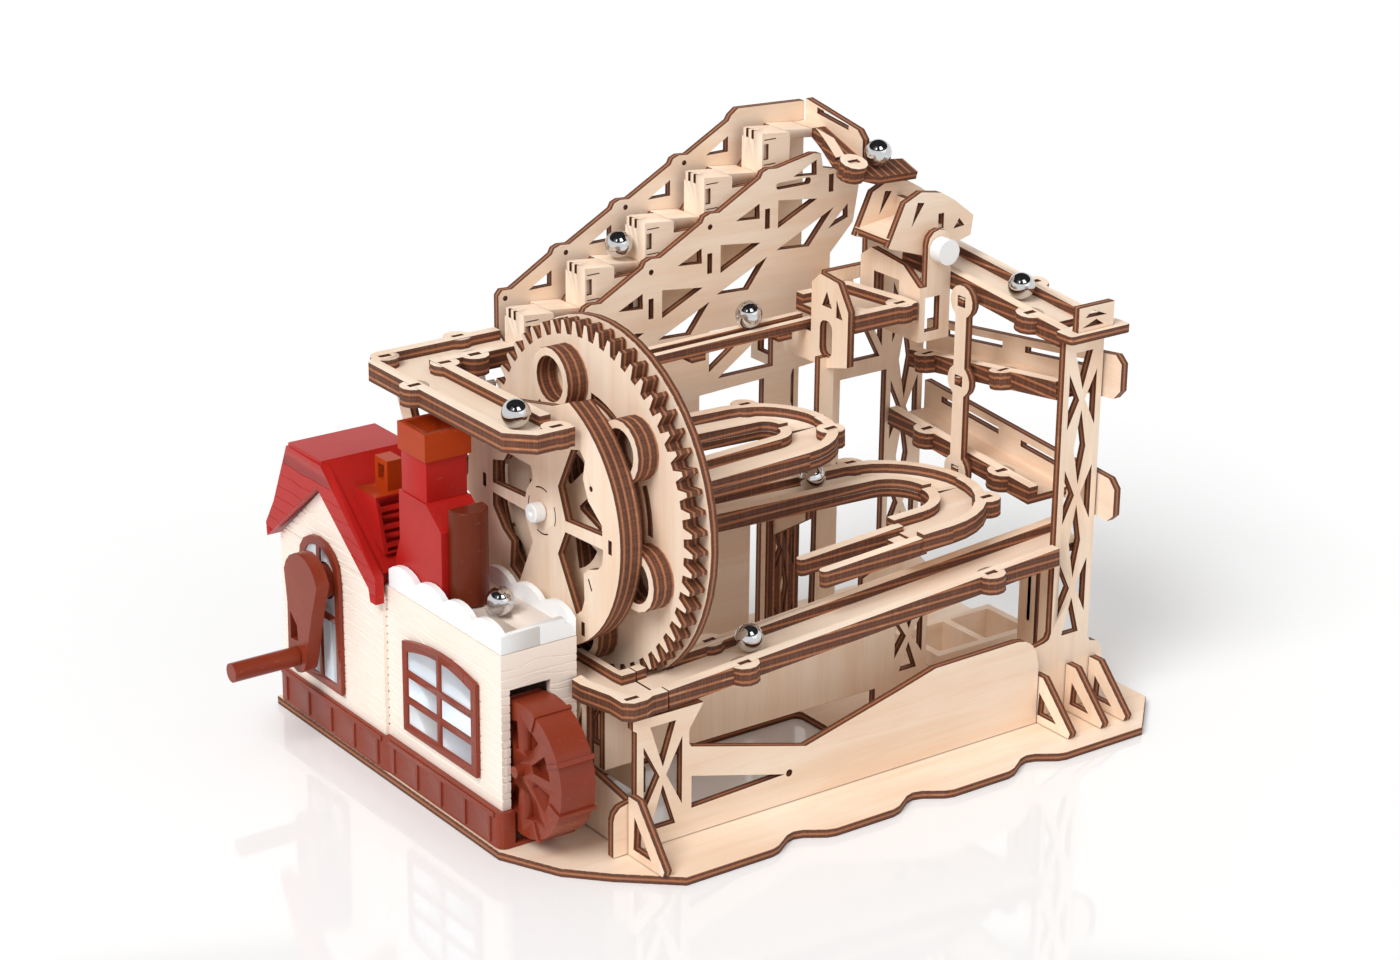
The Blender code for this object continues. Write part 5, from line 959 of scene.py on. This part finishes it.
    @staticmethod
    def boolean(first: Mesh, others: Iterable[Mesh], operation: str) -> Mesh:
        """One mesh from several by exact Booleans.

        Args:
            first: The mesh to work on.
            others: The tools.
            operation: UNION or DIFFERENCE.

        Returns:
            The result.
        """
        target = bpy.data.objects.new("target", first)
        bpy.context.scene.collection.objects.link(target)
        tools = []
        for other in others:
            tool = bpy.data.objects.new("tool", other)
            bpy.context.scene.collection.objects.link(tool)
            modifier = target.modifiers.new("step", "BOOLEAN")
            modifier.operation = operation
            modifier.solver = "EXACT"
            modifier.object = tool
            tools.append(tool)
        bpy.context.view_layer.update()
        graph = bpy.context.evaluated_depsgraph_get()
        result = bpy.data.meshes.new_from_object(target.evaluated_get(graph))
        for obj in (target, *tools):
            bpy.data.objects.remove(obj, do_unlink=True)
        return result

    @staticmethod
    def object_of(name: str, mesh: Mesh, finishes: Iterable[Finish]) -> Object:
        """Links an object at the origin with its materials.

        Args:
            name: Piece name.
            mesh: Its mesh in the shared frame.
            finishes: Its finishes in slot order.

        Returns:
            The object.
        """
        mesh.name = name
        for finish in finishes:
            mesh.materials.append(finish.material())
        obj = bpy.data.objects.new(name, mesh)
        bpy.context.scene.collection.objects.link(obj)
        return obj

    def seat(self, obj: Object, node: str, slot: Slot) -> None:
        """Lets a piece stand for a CAD node and ride on that node's body.

        Args:
            obj: The piece.
            node: The CAD node.
            slot: The record's material slot, not used.
        """
        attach(obj, self.body_of[node])
        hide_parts(node)
        LOG.info("%s rides on %s, %d faces", obj.name, self.body_of[node], len(obj.data.polygons))

    def soften(self, obj: Object, width: float, segments: int, rim_slot: int = -1) -> None:
        """Adds a small live bevel.

        Args:
            obj: The piece.
            width: Bevel width in mm.
            segments: Its segments.
            rim_slot: Material slot of the bevel's faces, or -1 for their neighbours'.
        """
        modifier = obj.modifiers.new("rim", "BEVEL")
        modifier.segments = segments
        modifier.limit_method = "ANGLE"
        modifier.angle_limit = math.radians(self.bevel_angle)
        modifier.use_clamp_overlap = True
        modifier.material = rim_slot
        modifier.miter_outer = "MITER_SHARP"
        for share in self.bevel_shares:
            modifier.width = width * share * MM
            if self.is_sound(obj):
                return
        obj.modifiers.remove(modifier)
        LOG.warning("%s keeps sharp edges", obj.name)

    @staticmethod
    def is_sound(obj: Object) -> bool:
        """Whether no face of the evaluated piece crosses itself.

        Args:
            obj: The piece.

        Returns:
            True if each face's triangles cover no more than its area.
        """
        bpy.context.view_layer.update()
        shown = obj.evaluated_get(bpy.context.evaluated_depsgraph_get())
        mesh = shown.to_mesh()
        mesh.calc_loop_triangles()
        covered = [0.0] * len(mesh.polygons)
        for triangle in mesh.loop_triangles:
            covered[triangle.polygon_index] += triangle.area
        sound = all(covered[face.index] <= face.area * 1.001 + 1e-10 for face in mesh.polygons)
        shown.to_mesh_clear()
        return sound

    def patch(self, mesh: Mesh, first: int, patches: Sequence[Patch]) -> None:
        """Gives the faces of each patch its material slot.

        Args:
            mesh: The piece's mesh.
            first: Slot of the first patch.
            patches: The patches.
        """
        for face in mesh.polygons:
            centre = self.kit.back(face.center)
            for number, patch in enumerate(patches):
                if patch.takes(centre, face.normal):
                    face.material_index = first + number

    @staticmethod
    def smooth(mesh: Mesh, degrees: float = 32.0) -> None:
        """Shades round stretches smooth and keeps the corners sharp."""
        mesh.shade_smooth()
        mesh.set_sharp_from_angle(angle=math.radians(degrees))

    # Plywood

    @staticmethod
    def flat_regions(shape: Shape) -> list[list[Face]]:
        """Groups of touching faces that lie in one plane.

        Args:
            shape: The bmesh, with fresh indices and normals.

        Returns:
            The faces of each region.
        """
        seen: set[int] = set()
        regions = []
        for face in shape.faces:
            if face.index in seen:
                continue
            seen.add(face.index)
            region, waiting = [face], [face]
            while waiting:
                here = waiting.pop()
                for other in (near for edge in here.edges for near in edge.link_faces):
                    if other.index not in seen and other.normal.dot(face.normal) > 0.9999:
                        seen.add(other.index)
                        region.append(other)
                        waiting.append(other)
            regions.append(region)
        return regions

    @staticmethod
    def mean_width(region: list[Face]) -> float:
        """Twice the area over the border's length, which is a long strip's width.

        Args:
            region: The region's faces.

        Returns:
            The width in mm.
        """
        inside = {face.index for face in region}
        border = 0.0
        for face in region:
            for edge in face.edges:
                if sum(other.index in inside for other in edge.link_faces) < 2:
                    border += edge.calc_length()
        area = sum(face.calc_area() for face in region)
        return 2.0 * area / max(border, 1e-9) / MM

    def lie_of(
        self, region: list[Face], plan: Sequence[Sheets], shift: Vector
    ) -> tuple[bool, Vector, Vector, Vector]:
        """How a flat region of a plywood piece lies in its sheet.

        Args:
            region: The region's faces.
            plan: The piece's sheets, the first that holds the region counts.
            shift: Where in the veneer the piece is cut.

        Returns:
            Whether it is a sheet's face, the directions of the UV map's two coordinates, and its offset.
        """
        corners = [self.kit.back(vert.co) for part in region for vert in part.verts]
        low = Vector([min(c[i] for c in corners) for i in range(3)])
        high = Vector([max(c[i] for c in corners) for i in range(3)])
        sheets = next(s for s in plan if s.holds((low + high) / 2))
        width = self.mean_width(region)
        normal = region[0].normal
        main = max(range(3), key=lambda i: abs(normal[i]))
        if sheets.axis is Axis.BOXED:
            is_face = width > sheets.strip
            stack = Axis(min((i for i in range(3) if i != main), key=lambda i: high[i] - low[i])).vector
        else:
            stack = sheets.axis.vector
            is_face = abs(normal.dot(stack)) > sheets.lean and width > self.least_face
        if is_face:
            along = sheets.grain.vector
            if abs(normal.dot(along)) > 0.8:
                along = (Axis.Y if main == Axis.Z.value else Axis.Z).vector
            along = (along - normal * along.dot(normal)).normalized()
            return True, along, normal.cross(along), shift
        along = stack.cross(normal)
        along = along.normalized() if along.length > 0.1 else normal.orthogonal().normalized()
        start = min(c.dot(stack) for c in corners) * MM
        return False, along, stack, Vector((shift[0], -start - self.kit.origin.dot(stack)))

    def mark_sheets(self, mesh: Mesh, name: str, plan: Sequence[Sheets]) -> None:
        """Gives each face its finish, sheet face or cut edge, and its place in the grain as a UV map.

        Args:
            mesh: The plywood piece's mesh.
            name: Its name, which sets where in the veneer it is cut.
            plan: Its sheets.
        """
        shape = bmesh.new()
        shape.from_mesh(mesh)
        shape.faces.index_update()
        shape.normal_update()
        uv = shape.loops.layers.uv.new("sheet")
        seed = zlib.crc32(name.encode())
        shift = Vector(((seed % 977) * 0.013, (seed % 613) * 0.017))
        for region in self.flat_regions(shape):
            is_face, along, across, offset = self.lie_of(region, plan, shift)
            for part in region:
                part.material_index = 0 if is_face else 1
                for loop in part.loops:
                    place = loop.vert.co
                    loop[uv].uv = (place.dot(along) + offset[0], place.dot(across) + offset[1])
        shape.to_mesh(mesh)
        shape.free()

    def plywood(
        self,
        node: str,
        plan: Sequence[Sheets],
        cuts: Sequence[Mesh] = (),
        patches: Sequence[Patch] = (),
    ) -> None:
        """Dresses one plywood node.

        Args:
            node: The CAD node, whose name the piece takes with _ply behind it.
            plan: The sheets it is cut from.
            cuts: Fine slots to cut.
            patches: Regions with another finish.
        """
        mesh = self.copy_of(node)
        if cuts:
            mesh = self.boolean(mesh, cuts, "DIFFERENCE")
        mesh.materials.clear()
        self.mark_sheets(mesh, node, plan)
        self.patch(mesh, 2, patches)
        self.smooth(mesh)
        finishes = (self.finishes.birch, self.finishes.edge, *(patch.finish for patch in patches))
        obj = self.object_of(node + "_ply", mesh, finishes)
        # The bevel's faces take the scorched edge: a charred rim along the cuts, and in the inner corners
        # between sheets a painted shade line in the joints
        self.soften(obj, self.rim, 1, 1)
        self.seat(obj, node, Slot.PLY)

    def moulding(
        self,
        node: str,
        finish: Finish,
        slot: Slot,
        cuts: Sequence[Mesh] = (),
        adds: Sequence[Mesh] = (),
        patches: Sequence[Patch] = (),
        edge: float = 0.3,
    ) -> None:
        """Dresses one plastic node with rounded moulded edges.

        Args:
            node: The CAD node.
            finish: Its finish.
            slot: The record's slot.
            cuts: Solids to cut.
            adds: Solids to join.
            patches: Regions with another finish.
            edge: Edge radius in mm, 0 for sharp edges and flat faces.
        """
        mesh = self.copy_of(node)
        if adds:
            mesh = self.boolean(mesh, adds, "UNION")
        if cuts:
            mesh = self.boolean(mesh, cuts, "DIFFERENCE")
        mesh.materials.clear()
        for face in mesh.polygons:
            face.material_index = 0
        self.patch(mesh, 1, patches)
        obj = self.object_of(node + "_shell", mesh, (finish, *(patch.finish for patch in patches)))
        if edge:
            self.smooth(mesh, 40.0)
            self.soften(obj, edge, 2)
        self.seat(obj, node, slot)


# Sub-assemblies


@dataclass
class Kerfs:
    """Fine laser cuts of the plywood sheets.

    The arcs, the pinhole and the slit lie round the big wheel's middle, the arcs by their own middles in
    degrees. The stair is the lowest moving step's top corner, and each step is a stride further. A mark is
    its place from there, its size, how many there are and the way to the next one. A nest is its inset and
    its reach.
    """

    bench: Bench
    disc_face: float = -12.0
    hub_arcs: tuple[float, ...] = (88.0, 178.0, 268.0, 358.0)
    arc_radius: float = 7.9
    arc_reach: float = 24.0
    pinhole: Spot = (-28.3, 16.5)
    slit: tuple[Spot, ...] = ((-26.7, -14.6), (-28.6, -18.2))
    stair: Point = (17.4, 109.4, 148.6)
    stride: Point = (24.7, 0.0, 12.0)
    steps: int = 5
    marks: tuple = (
        ((0.0, 5.6, -1.4), (2.0, 1.5, 3.4), 3, (0.0, 3.1, 0.0)),
        ((1.7, 0.0, -6.8), (2.2, 3.0, 5.6), 1, (0.0, 0.0, 0.0)),
        ((3.4, 0.0, -2.5), (5.0, 1.2, 0.4), 2, (0.0, 0.0, -8.9)),
    )
    nests: tuple[Spot, ...] = ((0.0, 4.4), (1.2, 3.0))

    def all(self) -> dict[str, list[Mesh]]:
        """The cutters of each node that has fine cuts."""
        return {
            "wheel_front_disc": [self.wheel_disc()],
            "front_panel": [self.bench.rod(Axis.Y, -1.0, 4.0, (49.2, 14.0), 1.3, 20)],
            "moving_steps": self.moving_steps(),
            "stair_truss_front": [self.knee_holes((42.4, 107.5, 143.9), self.steps - 2)],
            "stair_truss_back": [self.knee_holes((20.1, 126.5, 150.0), self.steps - 1)],
        }

    def wheel_disc(self) -> Mesh:
        """Short arcs round the hub, a pinhole and a slit in the disc's face."""
        bench = self.bench
        y, z = WHEEL_MIDDLE
        start, shallow, deep = self.disc_face - 0.5, self.disc_face + 0.9, self.disc_face + 2.4
        cuts = []
        for turn in self.hub_arcs:
            line = arc(y, z, self.arc_radius, turn - self.arc_reach, turn + self.arc_reach, 10)
            cuts.append(bench.groove(Axis.X, start, shallow, line, 0.5))
        cuts.append(bench.rod(Axis.X, start, deep, (y + self.pinhole[0], z + self.pinhole[1]), 0.95))
        cuts.append(bench.groove(Axis.X, start, deep, [(y + u, z + v) for u, v in self.slit], 0.8))
        return bench.joined(cuts)

    def knee_holes(self, first: Point, count: int) -> Mesh:
        """The round hole in each knee of a truss.

        Args:
            first: Middle of the lowest one.
            count: How many.

        Returns:
            The cutter.
        """
        peg = (1.9, 5.0, 0.0)
        return self.bench.growth.studs(first, peg, repeats=count, rise=self.stride, round_studs=True)

    def moving_steps(self) -> list[Mesh]:
        """Finger marks, corner slots, kerfs and nested corners of the moving steps."""
        x, y, z = self.stair
        cuts = []
        for (u, v, w), size, count, step in self.marks:
            first = (x + u, y + v, z + w)
            cuts.append(self.bench.growth.studs(first, size, count, step, self.steps, self.stride))
        nests = []
        for k in range(self.steps - 1):
            u, v = x + 43.5 + k * self.stride[0], z + 4.7 + k * self.stride[2]
            for inset, reach in self.nests:
                corner = [(u + inset, v - reach), (u + inset, v - inset), (u + inset + reach, v - inset)]
                nests.append(self.bench.groove(Axis.Y, y - 0.5, y + 0.7, corner, 0.45))
        return [*cuts, self.bench.joined(nests)]


@dataclass
class PlainSheets:
    """The plywood pieces, with the sheets that each is made of and its fine cuts.

    The bucket's white cap and its steel pins are boxes round their faces.
    """

    bench: Bench
    bucket_cap: tuple[Point, Point] = ((150.0, 50.0, 150.0), (170.0, 64.3, 170.0))
    bucket_pins: tuple[tuple[Point, Point], ...] = (
        ((157.0, 64.2, 156.0), (163.0, 68.9, 162.0)),
        ((157.0, 90.1, 156.0), (163.0, 110.0, 162.0)),
    )

    def plans(self) -> dict[str, list[Sheets]]:
        """The sheets of each node."""
        upright_x = Sheets(Axis.X, Axis.Z)
        upright_y = Sheets(Axis.Y, Axis.Z)
        long_y = Sheets(Axis.Y, Axis.X)
        flat = Sheets(Axis.Z, Axis.X)
        deep = Sheets(Axis.Z, Axis.Y)
        boxed = Sheets(Axis.BOXED, Axis.X)
        backboard = Sheets(Axis.X, Axis.Y, low=(183.5, -99.0, 0.0))
        tower_rib = Sheets(Axis.X, Axis.Z, low=(165.0, 6.4, -9.0), high=(170.0, 30.0, 70.0))
        side_guard = Sheets(Axis.X, Axis.Y, low=(146.7, 0.0, 0.0), high=(150.0, 999.0, 999.0))
        return {
            "base_plate": [flat],
            "front_panel": [long_y],
            "right_bracket_1": [upright_x],
            "right_bracket_2": [upright_x],
            "right_bracket_3": [upright_x],
            "front_left_bracket": [upright_x],
            "right_tower": [tower_rib, upright_y],
            "inner_panel": [upright_y],
            "corner_support": [upright_x],
            "storage_tray": [boxed],
            "front_track": [flat],
            "corner_track": [deep],
            "wheel_guard": [upright_x],
            "upper_left_track": [Sheets(Axis.X, Axis.Y, high=(999.0, 999.0, 133.0)), deep],
            "stair_truss_front": [Sheets(Axis.X, Axis.Z, low=(-99.0, 109.1, 0.0)), long_y],
            "stair_truss_back": [long_y],
            "fixed_steps": [Sheets(Axis.Y, low=(-99.0, 121.0, 0.0)), Sheets(Axis.BOXED, Axis.X, strip=2.0)],
            "moving_steps": [Sheets(Axis.Y, high=(999.0, 112.45, 999.0)), boxed],
            "top_platform": [side_guard, deep],
            "left_tray": [deep],
            "gate": [Sheets(Axis.X, Axis.Z, low=(0.0, 0.0, 119.0)), upright_y],
            "straight_track": [flat],
            "upper_loop": [flat],
            "lower_loop": [flat],
            "loop_post": [Sheets(Axis.X, Axis.Y, high=(999.0, 75.0, 999.0)), upright_y],
            "loop_panel": [long_y],
            "back_frame": [upright_y],
            "ramp_upper": [backboard, deep],
            "ramp_lower": [backboard, deep],
            "upper_right_track": [deep],
            "tower_cap": [Sheets(Axis.Y, low=(0.0, -9.0, 144.5)), flat],
            "track_link": [upright_x],
            "bucket_post": [Sheets(Axis.X, Axis.Z, low=(0.0, 67.5, 0.0)), upright_y],
            "wheel_front_disc": [upright_x],
            "wheel_pocket_plate": [upright_x],
            "wheel_gear": [upright_x],
            "crank_shaft": [upright_x],
            "tipping_bucket": [
                Sheets(Axis.Y, high=(999.0, 72.1, 999.0)),
                Sheets(Axis.Y, low=(0.0, 86.9, 0.0)),
                Sheets(Axis.BOXED, Axis.Y),
            ],
        }

    def build(self) -> None:
        """Dresses each of them."""
        kerfs = Kerfs(self.bench).all()
        finishes = self.bench.finishes
        cap = Patch(finishes.white, *self.bucket_cap)
        pins = [Patch(finishes.steel, *corners) for corners in self.bucket_pins]
        patches = {"tipping_bucket": (cap, *pins)}
        for node, plan in self.plans().items():
            self.bench.plywood(node, plan, kerfs.get(node, ()), patches.get(node, ()))


@dataclass(frozen=True)
class Wall:
    """An outer wall of the house that carries moulded boards."""

    start: Point
    length: float
    height: float
    turn: float = 0.0

    @property
    def place(self) -> Matrix:
        """Its lower corner, with its own Y along the wall."""
        return Matrix.Translation(self.start) @ Matrix.Rotation(math.radians(self.turn), 4, "Z")


@dataclass
class House:
    """The plastic house with its skirt, roof, chimney, terrace, windows and water wheel.

    A groove of the boards is its height as a share of a board, its radius, its wave and its seed. A side of
    the skirt is its outer plane and its two ends. Each window goes with the plane of its panes.
    """

    bench: Bench
    walls: tuple[Wall, ...] = (
        Wall((-45.5, 24.0, 19.5), 74.0, 48.0),
        Wall((-47.0, 96.0, 19.5), 72.0, 70.0),
        Wall((-48.0, 27.0, 19.5), 34.0, 48.0, -90.0),
    )
    board: float = 6.0
    grooves: tuple[tuple[float, ...], ...] = ((0.0, 0.40, 0.3, 3.0), (0.5, 0.34, 2.4, 9.0))
    skirt_sides: tuple[Point, ...] = ((-47.9, 28.0, 93.6), (-48.5, 97.4, 165.6))
    ribs: int = 5
    rib: Point = (1.1, 1.6, 9.4)
    rib_inset: float = 3.0
    windows: tuple[tuple[str, float], ...] = (("arched_window", -48.1), ("front_window", -46.6))

    def build(self) -> None:
        """Dresses the house's pieces."""
        finishes = self.bench.finishes
        self.bench.moulding("house_walls", finishes.wall, Slot.WALL, cuts=self.siding(), edge=0.0)
        self.bench.moulding("house_skirt", finishes.brown, Slot.BROWN, adds=self.skirt_relief())
        self.build_roof()
        self.build_terrace()
        for node, plane in self.windows:
            low, high = (plane - 0.1, 0.0, 0.0), (plane + 0.1, 200.0, 80.0)
            panes = Patch(finishes.pane, low, high, (-1.0, 0.0, 0.0))
            self.bench.moulding(node, finishes.brown, Slot.BROWN, patches=(panes,), edge=0.35)
        bore = self.bench.rod(Axis.X, -18.0, -15.4, WHEEL_MIDDLE, 0.9)
        waste = self.bench.collar(-44.0, -25.0, WATER_WHEEL_MIDDLE, 23.7, 30.0)
        cuts = {"wheel_axle": (bore,), "water_wheel": (waste,)}
        for node, finish, slot, edge in (
            ("chimney", finishes.red, Slot.RED, 0.35),
            ("chimney_cap", finishes.orange, Slot.BROWN, 0.3),
            ("chimney_cover", finishes.umber, Slot.BROWN, 0.5),
            ("crank_knob", finishes.brown, Slot.BROWN, 0.8),
            ("cam_shaft", finishes.white, Slot.WHITE, 0.3),
            ("wheel_axle", finishes.white, Slot.WHITE, 0.9),
            ("water_wheel", finishes.brown, Slot.BROWN, 0.45),
            ("crank_arm", finishes.brown, Slot.BROWN, 0.9),
        ):
            self.bench.moulding(node, finish, slot, cuts.get(node, ()), edge=edge)

    def siding(self) -> list[Mesh]:
        """Cutters of the board lines, their wavy grain, a joint above the windows and the near cheek."""
        cuts = []
        for number, wall in enumerate(self.walls):
            rows = int(wall.height / self.board)
            for share, radius, wave, seed in self.grooves:
                place = wall.place @ Matrix.Translation((0.0, 0.0, share * self.board))
                sizes = (wall.length, rows, self.board, radius, wave, seed + number)
                cuts.append(self.bench.growth.waves(place, *sizes))
        joint = self.bench.block((-47.8, 96.8, 68.7), (-46.2, 167.0, 69.2))
        cheek = self.bench.block((-46.5, 8.0, 16.4), (-41.7, 26.9, 48.0))
        return [*cuts, joint, cheek]

    def skirt_relief(self) -> list[Mesh]:
        """The skirt's lip and its row of ribs, on both outer sides."""
        solids = []
        for outer, start, end in self.skirt_sides:
            step = (end - start - 2 * self.rib_inset) / (self.ribs - 1)
            first = (outer, start + self.rib_inset, 9.2)
            solids.append(self.bench.growth.studs(first, self.rib, self.ribs, (0.0, step, 0.0)))
            solids.append(self.bench.block((outer - 0.55, start, 13.9), (outer + 0.6, end, 15.7)))
        return solids

    def build_roof(self) -> None:
        """The roof with faint moulded grain on its gable board and the vent in its own colour."""
        finishes = self.bench.finishes
        board = Matrix.Translation((-50.6, 94.0, 68.0))
        grain = self.bench.growth.waves(board, 78.0, 7, 4.6, 0.16, 1.2, 21.0)
        vent = Patch(finishes.orange, (-37.3, 108.7, 96.5), (-30.7, 117.3, 109.0))
        self.bench.moulding("roof", finishes.red, Slot.RED, cuts=(grain,), patches=(vent,), edge=0.4)

    def build_terrace(self) -> None:
        """The parapet with the joint of its front blocks, round a floor of the wall's colour."""
        white, wall = self.bench.finishes.white, self.bench.finishes.wall
        joint = self.bench.block((-30.9, 26.5, 69.0), (-30.5, 27.5, 90.0))
        floor = Patch(wall, (-44.5, 28.0, 60.0), (-17.5, 96.0, 73.3))
        self.bench.moulding("terrace", white, Slot.WHITE, cuts=(joint,), patches=(floor,), edge=0.4)


@dataclass
class SteelBalls:
    """The loose steel balls."""

    bench: Bench
    count: int = 8
    segments: int = 48

    def build(self) -> None:
        """One smooth ball for each CAD ball."""
        for number in range(1, self.count + 1):
            node = f"ball_{number}"
            low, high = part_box(node)
            shape = bmesh.new()
            rings, radius = self.segments // 2, (high.z - low.z) / 2
            bmesh.ops.create_uvsphere(shape, u_segments=self.segments, v_segments=rings, radius=radius)
            bmesh.ops.translate(shape, verts=shape.verts, vec=(low + high) / 2)
            mesh = self.bench.mesh_from(shape, node)
            mesh.shade_smooth()
            obj = self.bench.object_of(f"steel_ball_{number}", mesh, (self.bench.finishes.steel,))
            self.bench.seat(obj, node, Slot.STEEL)


@dataclass
class Studio:
    """Floor, soft light and the camera.

    A sun is its name, where it stands, its size in degrees and its strength. A window is a glowing painted
    highlight, the range of directions that it takes of the painted reflection ceiling, round and up, in
    degrees.
    """

    kit: KitFrame
    camera_place: Point = (-552.2, -776.0, 493.8)
    heading: float = 36.0
    pitch: float = 21.0
    roll: float = -0.6
    focal_px: float = 3300.0
    image_width: float = 1400.0
    sensor: float = 36.0
    ambient: float = 0.55
    suns: tuple = (
        ("key", (-0.95, -0.35, 1.05), 30.0, 2.1),
        ("fill", (0.35, -1.3, 0.9), 50.0, 0.25),
    )
    # Painted highlight windows in the dark painted reflection ceiling, seen only by mirroring surfaces
    windows: tuple = ((250, 285, 40, 65), (205, 215, 40, 55))
    painted_highlight_glow: float = 2.2
    painted_reflection_radius: float = 3.0
    painted_reflection_step: int = 5
    painted_reflection_edge: int = 30

    def build(self) -> None:
        """Sets up the whole studio."""
        self.floor()
        self.overhead()
        self.light()
        self.camera()

    @staticmethod
    def staged(name: str, mesh: Mesh, tone: float, gloss: float, glow: float = 0.0) -> Object:
        """Links a studio surface of one grey.

        Args:
            name: Its name.
            mesh: Its mesh.
            tone: Its grey.
            gloss: Its roughness.
            glow: Strength of its own white light.

        Returns:
            The object.
        """
        obj = bpy.data.objects.new(name, mesh)
        bpy.context.scene.collection.objects.link(obj)
        made = bpy.data.materials.new(name)
        made.use_nodes = True
        inputs = {"Base Color": (tone, tone, tone, 1.0), "Roughness": gloss, "Emission Strength": glow}
        inputs["Emission Color"] = (1.0, 1.0, 1.0, 1.0)
        Graph(made.node_tree).feed(made.node_tree.nodes["Principled BSDF"], inputs)
        mesh.materials.append(made)
        return obj

    def floor(self) -> None:
        """A plain pale floor."""
        shape = bmesh.new()
        bmesh.ops.create_grid(shape, x_segments=1, y_segments=1, size=9.0)
        self.staged("floor", Bench.mesh_from(shape, "floor"), 0.95, 0.05)

    def overhead(self) -> None:
        """Painted reflection: a dark ceiling with two glowing windows, which only mirroring surfaces see and
        which light and shade nothing.
        """
        painted_reflection_ceiling, windows = bmesh.new(), bmesh.new()
        step = self.painted_reflection_step

        def spot(turn: float, lift: float) -> Vector:
            """The place in this direction, in degrees."""
            level = Vector((self.painted_reflection_radius, 0.0, 0.0))
            return Euler((0.0, -math.radians(lift), math.radians(turn))).to_matrix() @ level

        for turn in range(0, 360, step):
            for lift in range(self.painted_reflection_edge, 90, step):
                lit = any(t0 <= turn < t1 and l0 <= lift < l1 for t0, t1, l0, l1 in self.windows)
                shape = windows if lit else painted_reflection_ceiling
                corners = rectangle(turn, lift, turn + step, lift + step)
                shape.faces.new([shape.verts.new(spot(*corner)) for corner in corners])
        # Painted reflection: both show only in mirroring surfaces, and the windows glow as painted
        # highlights, not as lamps
        glows = (("painted_reflection_ceiling", painted_reflection_ceiling, 0.0), ("painted_highlight_windows", windows, self.painted_highlight_glow))
        for name, shape, glow in glows:
            bmesh.ops.remove_doubles(shape, verts=shape.verts, dist=1e-5)
            surface = self.staged(name, Bench.mesh_from(shape, name), 0.02, 1.0, glow)
            for ray in ("camera", "diffuse", "shadow", "transmission"):
                setattr(surface, "visible_" + ray, False)

    def light(self) -> None:
        """A pale world and soft suns: a key from the left above and a weak fill from the front."""
        world = bpy.data.worlds.new("studio")
        bpy.context.scene.world = world
        world.use_nodes = True
        graph = Graph(world.node_tree)
        background = world.node_tree.nodes["Background"]
        path = graph.node("LightPath")
        seen = graph.maths("MAXIMUM", path.outputs["Is Camera Ray"], path.outputs["Is Glossy Ray"])
        seen = graph.maths("MAXIMUM", seen, path.outputs["Is Transmission Ray"])
        strength = graph.spread(seen, 0.0, 1.0, self.ambient, 1.0)
        graph.feed(background, {"Color": (1.0, 1.0, 1.0, 1.0), "Strength": strength})
        for name, place, size, power in self.suns:
            lamp = bpy.data.lights.new(name, "SUN")
            lamp.angle = math.radians(size)
            lamp.energy = power
            obj = bpy.data.objects.new(name, lamp)
            obj.location = place
            obj.rotation_euler = (-Vector(place)).to_track_quat("-Z", "Y").to_euler()
            bpy.context.scene.collection.objects.link(obj)

    def camera(self) -> None:
        """The camera at the photograph's viewing angle."""
        heading, pitch, roll = (math.radians(a) for a in (self.heading, self.pitch, self.roll))
        level = math.cos(pitch)
        forward = Vector((math.sin(heading) * level, math.cos(heading) * level, -math.sin(pitch)))
        right = Vector((math.cos(heading), -math.sin(heading), 0.0))
        up = right.cross(forward)
        right, up = (
            right * math.cos(roll) - up * math.sin(roll),
            right * math.sin(roll) + up * math.cos(roll),
        )
        data = bpy.data.cameras.new("camera")
        data.sensor_width = self.sensor
        data.lens = self.focal_px / self.image_width * self.sensor
        data.clip_start, data.clip_end = 0.01, 50.0
        camera = bpy.data.objects.new("camera", data)
        turn = Matrix((right, up, -forward)).transposed().to_4x4()
        camera.matrix_world = Matrix.Translation(self.kit.at(*self.camera_place)) @ turn
        bpy.context.scene.collection.objects.link(camera)
        bpy.context.scene.camera = camera


def main() -> None:
    """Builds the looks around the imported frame."""
    logging.basicConfig(level=logging.INFO, format="%(name)s: %(message)s")
    for obj in list(bpy.data.objects):
        bpy.data.objects.remove(obj, do_unlink=True)
    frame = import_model()
    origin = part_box("base_plate")[0] - Vector(BASE_CORNER) * MM
    kit = KitFrame(origin)
    body_of = {node: obj["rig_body"] for node, obj in frame["nodes"].items()}
    finishes = Finishes()
    bench = Bench(kit, finishes, Growth(kit, finishes.birch.material()), frame["nodes"], body_of)
    PlainSheets(bench).build()
    House(bench).build()
    SteelBalls(bench).build()
    Studio(kit).build()
    scene = bpy.context.scene
    scene.view_settings.view_transform = "Standard"
    bpy.context.view_layer.update()


if __name__ == "__main__":
    main()
